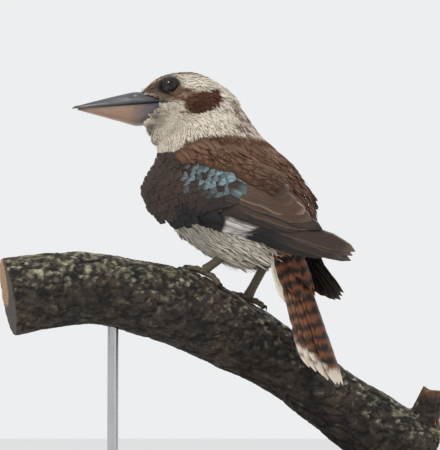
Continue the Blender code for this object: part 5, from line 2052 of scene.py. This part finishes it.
class Perch:
    """The branch: bark plates, cracks, lichen and sawn ends."""

    VOXEL = 1.55
    SLOPE = math.tan(PERCH_PLAN_TURN)
    END_DEPTH = 3.0
    NEAR_END = 25
    HALF_LENGTH = 150
    STUB_HEIGHT = 100

    def __init__(self, frame: dict) -> None:
        """Copy the CAD branch of a loaded frame and divide it finely."""
        self.obj = remeshed(copy_nodes(frame, ("perch",), "bark"), self.VOXEL, 3)
        self.points, self.normals, _ = read_mesh(self.obj)
        self.way = np.array([1.0, self.SLOPE, -0.35])
        self.way /= np.linalg.norm(self.way)

    def patterns(self) -> tuple[Array, Array, Array]:
        """Noise stretched along the branch.

        Returns:
            Height of the bark, cracks between its plates, and lichen, a number a point.
        """
        along = self.points @ self.way
        rest = self.points - along[:, None] * self.way
        rows = []
        for place, point in zip(rest / 7.0 + (along / 17.0)[:, None] * self.way, self.points,
                                strict=True):
            v, p = Vector(place), Vector(point)
            a, b = noise.noise(v), noise.noise(v * 2.3 + Vector((7, 3, 1)))
            crack = 1.0 - abs(noise.noise(v * 0.9 + Vector((b, a, b)) * 0.5)) * 3.2
            rows.append((0.5 * a + 0.35 * b, max(0.0, crack),
                         noise.noise(p / 15.0) + 0.6 * noise.noise(p / 5.0)))
        return tuple(np.array(rows).T)

    def colours(self, height: Array, cracks: Array, lichen: Array) -> Array:
        """Dark bark under grey, green and cream lichen, thickest on top.

        Args:
            height: height of the bark.
            cracks: depth of the cracks between its plates.
            lichen: how well lichen grows.

        Returns:
            Linear colours, a row a point.
        """
        x, _, z = self.points.T
        top = smooth(self.normals[:, 2], -0.25, 0.6)
        shade = mixed(rgb(72, 62, 54), rgb(38, 32, 28), 0.5 - height * 1.6)
        warm = smooth(waves(self.points, 40.0, 3), 0.1, 0.9)
        shade = mixed(shade, rgb(88, 70, 52), warm * 0.45)
        fleck = np.array([noise.noise(Vector(q) / 4.6) + 0.5 * noise.noise(Vector(q) / 1.9)
                          for q in self.points])
        share = 0.30 * top + 0.16 * smooth(-x, -10.0, 90.0) + 0.22 * lichen
        grey = smooth(fleck + share, 0.34, 0.56)
        shade = mixed(shade, rgb(134, 130, 112), grey * (0.15 + 0.7 * top))
        green = smooth(fleck * 0.8 + 0.35 * waves(self.points, 16.0, 9) + share, 0.55, 0.75)
        shade = mixed(shade, rgb(128, 128, 92), green * (0.1 + 0.8 * top) * 0.7)
        cream = smooth(fleck + 0.3 * waves(self.points, 9.0, 10) + 0.8 * share, 0.72, 0.9)
        shade = mixed(shade, rgb(186, 180, 156), cream * (0.15 + 0.85 * top) * 0.9)
        shade = mixed(shade, rgb(16, 13, 12), smooth(cracks, 0.45, 0.9) * 0.9)
        stub = smooth(x, 152.0, 160.0) * smooth(z, 96.0, 104.0)
        return mixed(shade, rgb(120, 84, 56), stub * 0.8)

    def build(self) -> bpy.types.Object:
        """Raise the bark's plates, colour them and dress the sawn ends.

        Returns:
            The branch.
        """
        mesh = self.obj.data
        height, cracks, lichen = self.patterns()
        level = self.points[:, 0]
        flat_end = level < level.min() + self.END_DEPTH
        flat_end |= level > level.max() - self.END_DEPTH
        side = smooth(np.abs(self.normals @ self.way), 0.75, 0.95)
        relief = (height * 0.9 - 1.25 * smooth(cracks, 0.45, 0.95) + 0.15) * (1 - side)
        relief = relief + waves(self.points, 2.6, 8) * 0.16
        self.points = self.points + self.normals * relief[:, None]
        move_points(self.obj, self.points)
        paint(mesh, "shade", self.colours(height, cracks, lichen))
        mesh.materials.clear()
        mesh.materials.append(BarkFinish().make())
        level = self.points[:, 0]
        for k, near in enumerate((level < level.min() + self.NEAR_END,
                                  level > level.max() - self.NEAR_END)):
            faced = near & (side > 0.5) & flat_end | near & (side > 0.9)
            middle = tuple(self.points[faced].mean(0) * MM)
            mesh.materials.append(SawnFinish(f"sawn_end_{k}", middle).make())
        centres = read_rows(mesh.polygons, "center") / MM
        facing = read_rows(mesh.polygons, "normal") @ np.array([1.0, self.SLOPE, 0.0])
        facing /= math.hypot(1, self.SLOPE)
        slots = np.zeros(len(centres), np.int32)
        x, _, z = centres.T
        slots[(facing < -0.80) & (x < -self.HALF_LENGTH)] = 1
        slots[(facing > 0.62) & (x > self.HALF_LENGTH) & (z < self.STUB_HEIGHT)] = 2
        mesh.polygons.foreach_set("material_index", slots)
        mesh.update()
        mesh.shade_smooth()
        return self.obj


@dataclass
class Studio:
    """Camera, lights, floor and background, in metres."""

    target_height: float = 0.243
    light_target: tuple = (0, 0, 0.28)
    distance: float = 2.2
    elevation: float = math.radians(-4.0)
    pixels_per_mm: float = 1.2
    frame_height: int = 450
    sensor: float = 36.0
    floor_half_mm: float = 6000.0
    background: tuple = (0.94, 0.95, 0.96, 1)
    brightness: float = 0.90
    lights: tuple = (
        ("key", (-1.3, -1.0, 1.8), 0.7, 28.0, (1.0, 0.97, 0.93)),
        ("fill", (1.6, -1.5, 0.8), 1.4, 4.0, (0.94, 0.97, 1.0)),
        ("back", (0.8, 1.5, 1.5), 1.0, 24.0, (1.0, 1.0, 1.0)),
    )

    def camera(self) -> None:
        """Place the camera at the photograph's viewing angle."""
        data = bpy.data.cameras.new("camera")
        data.sensor_width = self.sensor
        data.lens = self.sensor * self.distance * 1000 / (self.frame_height / self.pixels_per_mm)
        camera = bpy.data.objects.new("camera", data)
        target = Vector((0, 0, self.target_height))
        away = Vector((0, -math.cos(self.elevation), math.sin(self.elevation)))
        camera.location = target + away * self.distance
        camera.rotation_euler = (-away).to_track_quat("-Z", "Y").to_euler()
        bpy.context.scene.collection.objects.link(camera)
        bpy.context.scene.camera = camera

    def light(self, name: str, at: tuple, size: float, power: float, colour: tuple) -> None:
        """Place one soft light aimed at the bird.

        Args:
            name: its name.
            at: where it stands.
            size: its width.
            power: its power in watts.
            colour: its colour.
        """
        data = bpy.data.lights.new(name, "AREA")
        data.shape = "DISK"
        data.size = size
        data.energy = power
        data.color = colour
        lamp = bpy.data.objects.new(name, data)
        lamp.location = at
        way = Vector(self.light_target) - Vector(at)
        lamp.rotation_euler = way.to_track_quat("-Z", "Y").to_euler()
        bpy.context.scene.collection.objects.link(lamp)

    def build(self) -> None:
        """Build the whole studio."""
        self.camera()
        for light in self.lights:
            self.light(*light)
        world = bpy.data.worlds.new("studio")
        world.use_nodes = True
        inputs = world.node_tree.nodes["Background"].inputs
        inputs["Color"].default_value = self.background
        inputs["Strength"].default_value = self.brightness
        bpy.context.scene.world = world
        bpy.context.scene.view_settings.view_transform = "Standard"
        corners = np.array([(-1, -1, 0), (1, -1, 0), (1, 1, 0), (-1, 1, 0)]) * self.floor_half_mm
        parts = MeshParts()
        parts.add(corners, [(0, 1, 2, 3)], [], {}, {})
        parts.make("floor", FloorFinish().make())


class Zones:
    """Where each part of the coat grows: the chance that a root carries a tuft."""

    EYE_MIDDLE = (EYE_AT[0], 17.5, EYE_AT[2])
    BARE_RADIUS = 8.2
    WING_LINE = (-0.935, -0.354)

    @staticmethod
    def clear(points: Array, normals: Array) -> Array:
        """Keep the eyes, the bill and its mouth free of tufts.

        Args:
            points: world millimetres on the skin.
            normals: its normals there.

        Returns:
            1 where tufts may grow, 0 elsewhere.
        """
        head = local_mm(HEAD, points)
        x, y, z = head.T
        wide = np.abs(y)
        eye = np.linalg.norm(np.stack([x, wide, z], 1) - np.array(Zones.EYE_MIDDLE), axis=1)
        level = (z < 5.5) & (z > -20.0)
        bare = eye <= Zones.BARE_RADIUS
        bare |= (x > 17.0) & (wide < 13.0) & level
        bare |= (x > 26.5) & level & (z > -5.0)
        bare |= (x > 33.0 - 0.3 * (z + 5.0)) & level
        bare |= x > 40.5
        bare |= (x > 32.5) & (z < -17.0)
        bare |= (x > 25.0) & (z < -12.0) & (normals[:, 0] < -0.6) & (z > -20.0)
        return (~bare).astype(float)

    @staticmethod
    def face(points: Array, normals: Array) -> Array:
        """The front of the head."""
        x, _, z = local_mm(HEAD, points).T
        return Zones.clear(points, normals) * (x > 0.0) * (z > -38.0)

    @staticmethod
    def neck(points: Array, normals: Array) -> Array:
        """The back of the head and the neck."""
        x, _, z = local_mm(HEAD, points).T
        above = above_collar(local_mm(BIRD, points)) > -5.0
        return Zones.clear(points, normals) * ((x <= 2.0) | (z <= -36.0)) * above

    @staticmethod
    def under_wing(bird: Array) -> Array:
        """Whether places of the bird frame lie well under a folded wing."""
        x, y, z = bird.T
        dx, dz = x - WRIST[0], z - WRIST[1]
        back, down = Zones.WING_LINE
        along, up = dx * back + dz * down, dx * down - dz * back
        return (along > 8) & (along < 120) & (up > -11) & (up < 24) & (np.abs(y) > 22)

    @staticmethod
    def breast(points: Array, _normals: Array) -> Array:
        """Breast, belly and flanks."""
        bird = local_mm(BIRD, points)
        low = np.maximum(smooth(ahead_of_mantle(bird), -12.0, -4.0),
                         1.0 - smooth(bird[:, 2], -14.0, -6.0))
        return low * (above_collar(bird) < -1.0) * ~Zones.under_wing(bird)

    @staticmethod
    def back(points: Array, _normals: Array) -> Array:
        """Mantle, back and rump."""
        bird = local_mm(BIRD, points)
        high = (1.0 - smooth(ahead_of_mantle(bird), -6.0, 0.0)) * smooth(bird[:, 2], -16.0, -8.0)
        return high * (above_collar(bird) < -3.5) * ~Zones.under_wing(bird)

    @staticmethod
    def vent(points: Array, _normals: Array) -> Array:
        """The long loose feathers about the thighs and under the tail."""
        x, y, z = local_mm(BIRD, points).T
        rear = smooth(-x, 26, 36) * (1.0 - smooth(z, -26, -20))
        thigh = spot(x, z, (-4, -22), (12, 8)) * (np.abs(y) > 8) * 0.5
        return np.maximum(rear, thigh) * 0.8


class Bird:
    """Builds and dresses the whole bird."""

    # Each part of the coat: its style, its zone, roots tried, its CAD slot, whether it is fine
    COAT = {
        "feathers_back": (CoatStyle(17.0, 6.6, 0.13, 0.08, 0.09, 0.3, 0.06), Zones.back, 30000,
                          "body_feathers", False),
        "feathers_breast": (CoatStyle(11.5, 3.0, 0.27, 0.18, 0.18), Zones.breast, 30000,
                            "body_feathers", False),
        "feathers_vent": (CoatStyle(24.0, 3.8, 0.17, 0.05, 0.13, 0.25, 0.05), Zones.vent, 16000,
                          "head_feathers", False),
        "feathers_neck": (CoatStyle(8.0, 1.9, 0.23, 0.14, 0.14), Zones.neck, 37000,
                          "head_feathers", True),
        "feathers_face": (CoatStyle(4.8, 1.2, 0.26, 0.14, 0.14), Zones.face, 77000,
                          "head_feathers", True),
    }
    SHOULDER = CoatStyle(17.0, 6.6, 0.10, 0.07, 0.09, 0.3, 0.06)
    QUICK_SHARE = 0.35

    def __init__(self, frame: dict) -> None:
        """Keep the loaded frame."""
        self.frame = frame
        self.rng = np.random.default_rng(21)
        self.shoulders: list[tuple[Side, tuple]] = []

    def keep(self, piece: bpy.types.Object, slot: str, *nodes: str) -> None:
        """Ride a piece on the model and hide the CAD nodes that it replaces.

        Args:
            piece: the piece.
            slot: the CAD material that it stands for; not used.
            nodes: the CAD nodes that it replaces.
        """
        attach(piece, "root")
        if nodes:
            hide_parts(*nodes)
        LOG.info("%s: %d faces", piece.name, len(piece.data.polygons))

    def wings_and_tail(self) -> None:
        """Build both wings and the tail."""
        body = copy_nodes(self.frame, ("torso", "neck"), "body_for_wings")
        tree = tree_of(body, BIRD)
        bpy.data.objects.remove(body)
        finish = VaneFinish("flight_feathers").make()
        for wing in (Wing(Side.LEFT, tree, 0.0, 1.0), Wing(Side.RIGHT, tree, 13.0, 0.97)):
            vanes, core = wing.build(finish, self.rng)
            self.shoulders.append((wing.side, wing.shoulder(self.rng)))
            self.keep(vanes, "wing_feathers", f"wing_{wing.side.value}")
            self.keep(core, "wing_feathers")
        vanes, core = Tail().build(VaneFinish("tail_feathers", 0.66, 60.0).make(), self.rng)
        self.keep(vanes, "tail_feathers", "tail")
        self.keep(core, "tail_feathers")

    def face(self) -> None:
        """Build the bill and the eyes."""
        bill = Bill()
        upper = HornFinish("horn_dark", rgb(70, 71, 79), rgb(34, 34, 40), rgb(58, 56, 60),
                           edge_height=-0.0002)
        lower = HornFinish("horn_pale", rgb(142, 112, 90), rgb(44, 44, 52), rgb(66, 69, 80),
                           edge_height=-0.0006)
        self.keep(bill.half(True, upper.make()), "bill_dark", "bill_upper")
        self.keep(bill.half(False, lower.make()), "bill_horn", "bill_lower")
        for side in Side:
            eye, lids = Eyes().build(side)
            self.keep(eye, "eye", f"eye_{side.value}")
            self.keep(lids, "head_feathers")

    def coat(self) -> None:
        """Build the skin and the coat of small feathers."""
        skin = Skin(self.frame)
        self.keep(skin.obj, "body_feathers", "head", "neck", "torso")
        coat = Coat(skin, 33)
        soft = DownFinish("soft_feathers").make()
        fine = DownFinish("fine_feathers", root_dark=0.86, edge_light=1.06).make()
        share = 1.0
        for name, (style, zone, count, slot, is_fine) in self.COAT.items():
            finish = fine if is_fine else soft
            self.keep(coat.grow(name, style, zone, int(count * share), finish), slot)
        for side, (roots, normals, ways, colours) in self.shoulders:
            piece = coat.tufts(f"feathers_shoulder_{side.value}", self.SHOULDER, roots, normals,
                               soft, colours, ways)
            self.keep(piece, "body_feathers")

    def legs(self, tree: BVHTree) -> None:
        """Build the legs on the branch, whose search tree is given."""
        skin = ScaleFinish("leg_scales", rgb(98, 87, 70), rgb(48, 42, 35)).make()
        horn = ScaleFinish("claw_horn", rgb(34, 30, 28), rgb(24, 21, 20), 2.0).make()
        for foot in (Foot(Side.LEFT, tree, (-10.0, 19.0, -25.0), -14.0, -5.0),
                     Foot(Side.RIGHT, tree, (-31.0, -14.0, -27.0), 22.0, 3.0)):
            leg, toes, claws = foot.build(skin, horn)
            self.keep(leg, "leg_scales", f"leg_{foot.side.value}")
            self.keep(toes, "leg_scales", f"foot_{foot.side.value}")
            self.keep(claws, "leg_scales")

    def perch_and_stand(self) -> BVHTree:
        """Build the branch and finish the stand's own solids.

        Returns:
            A search tree of the plain branch, in world millimetres.
        """
        plain = copy_nodes(self.frame, ("perch",), "perch_plain")
        tree = tree_of(plain)
        bpy.data.objects.remove(plain)
        self.keep(Perch(self.frame).build(), "bark", "perch")
        wood, steel = StainedWoodFinish().make(), SteelFinish().make()
        for node, finish in (("stand_base", wood), ("stand_rod_1", steel), ("stand_rod_2", steel)):
            mesh = self.frame["nodes"][node].data
            mesh.materials.clear()
            mesh.materials.append(finish)
        return tree


def main() -> None:
    """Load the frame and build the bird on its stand."""
    logging.basicConfig(level=logging.INFO, format="%(message)s")
    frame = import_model()
    Studio().build()
    bird = Bird(frame)
    tree = bird.perch_and_stand()
    bird.wings_and_tail()
    bird.face()
    bird.coat()
    bird.legs(tree)
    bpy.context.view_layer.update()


if __name__ == "__main__":
    main()
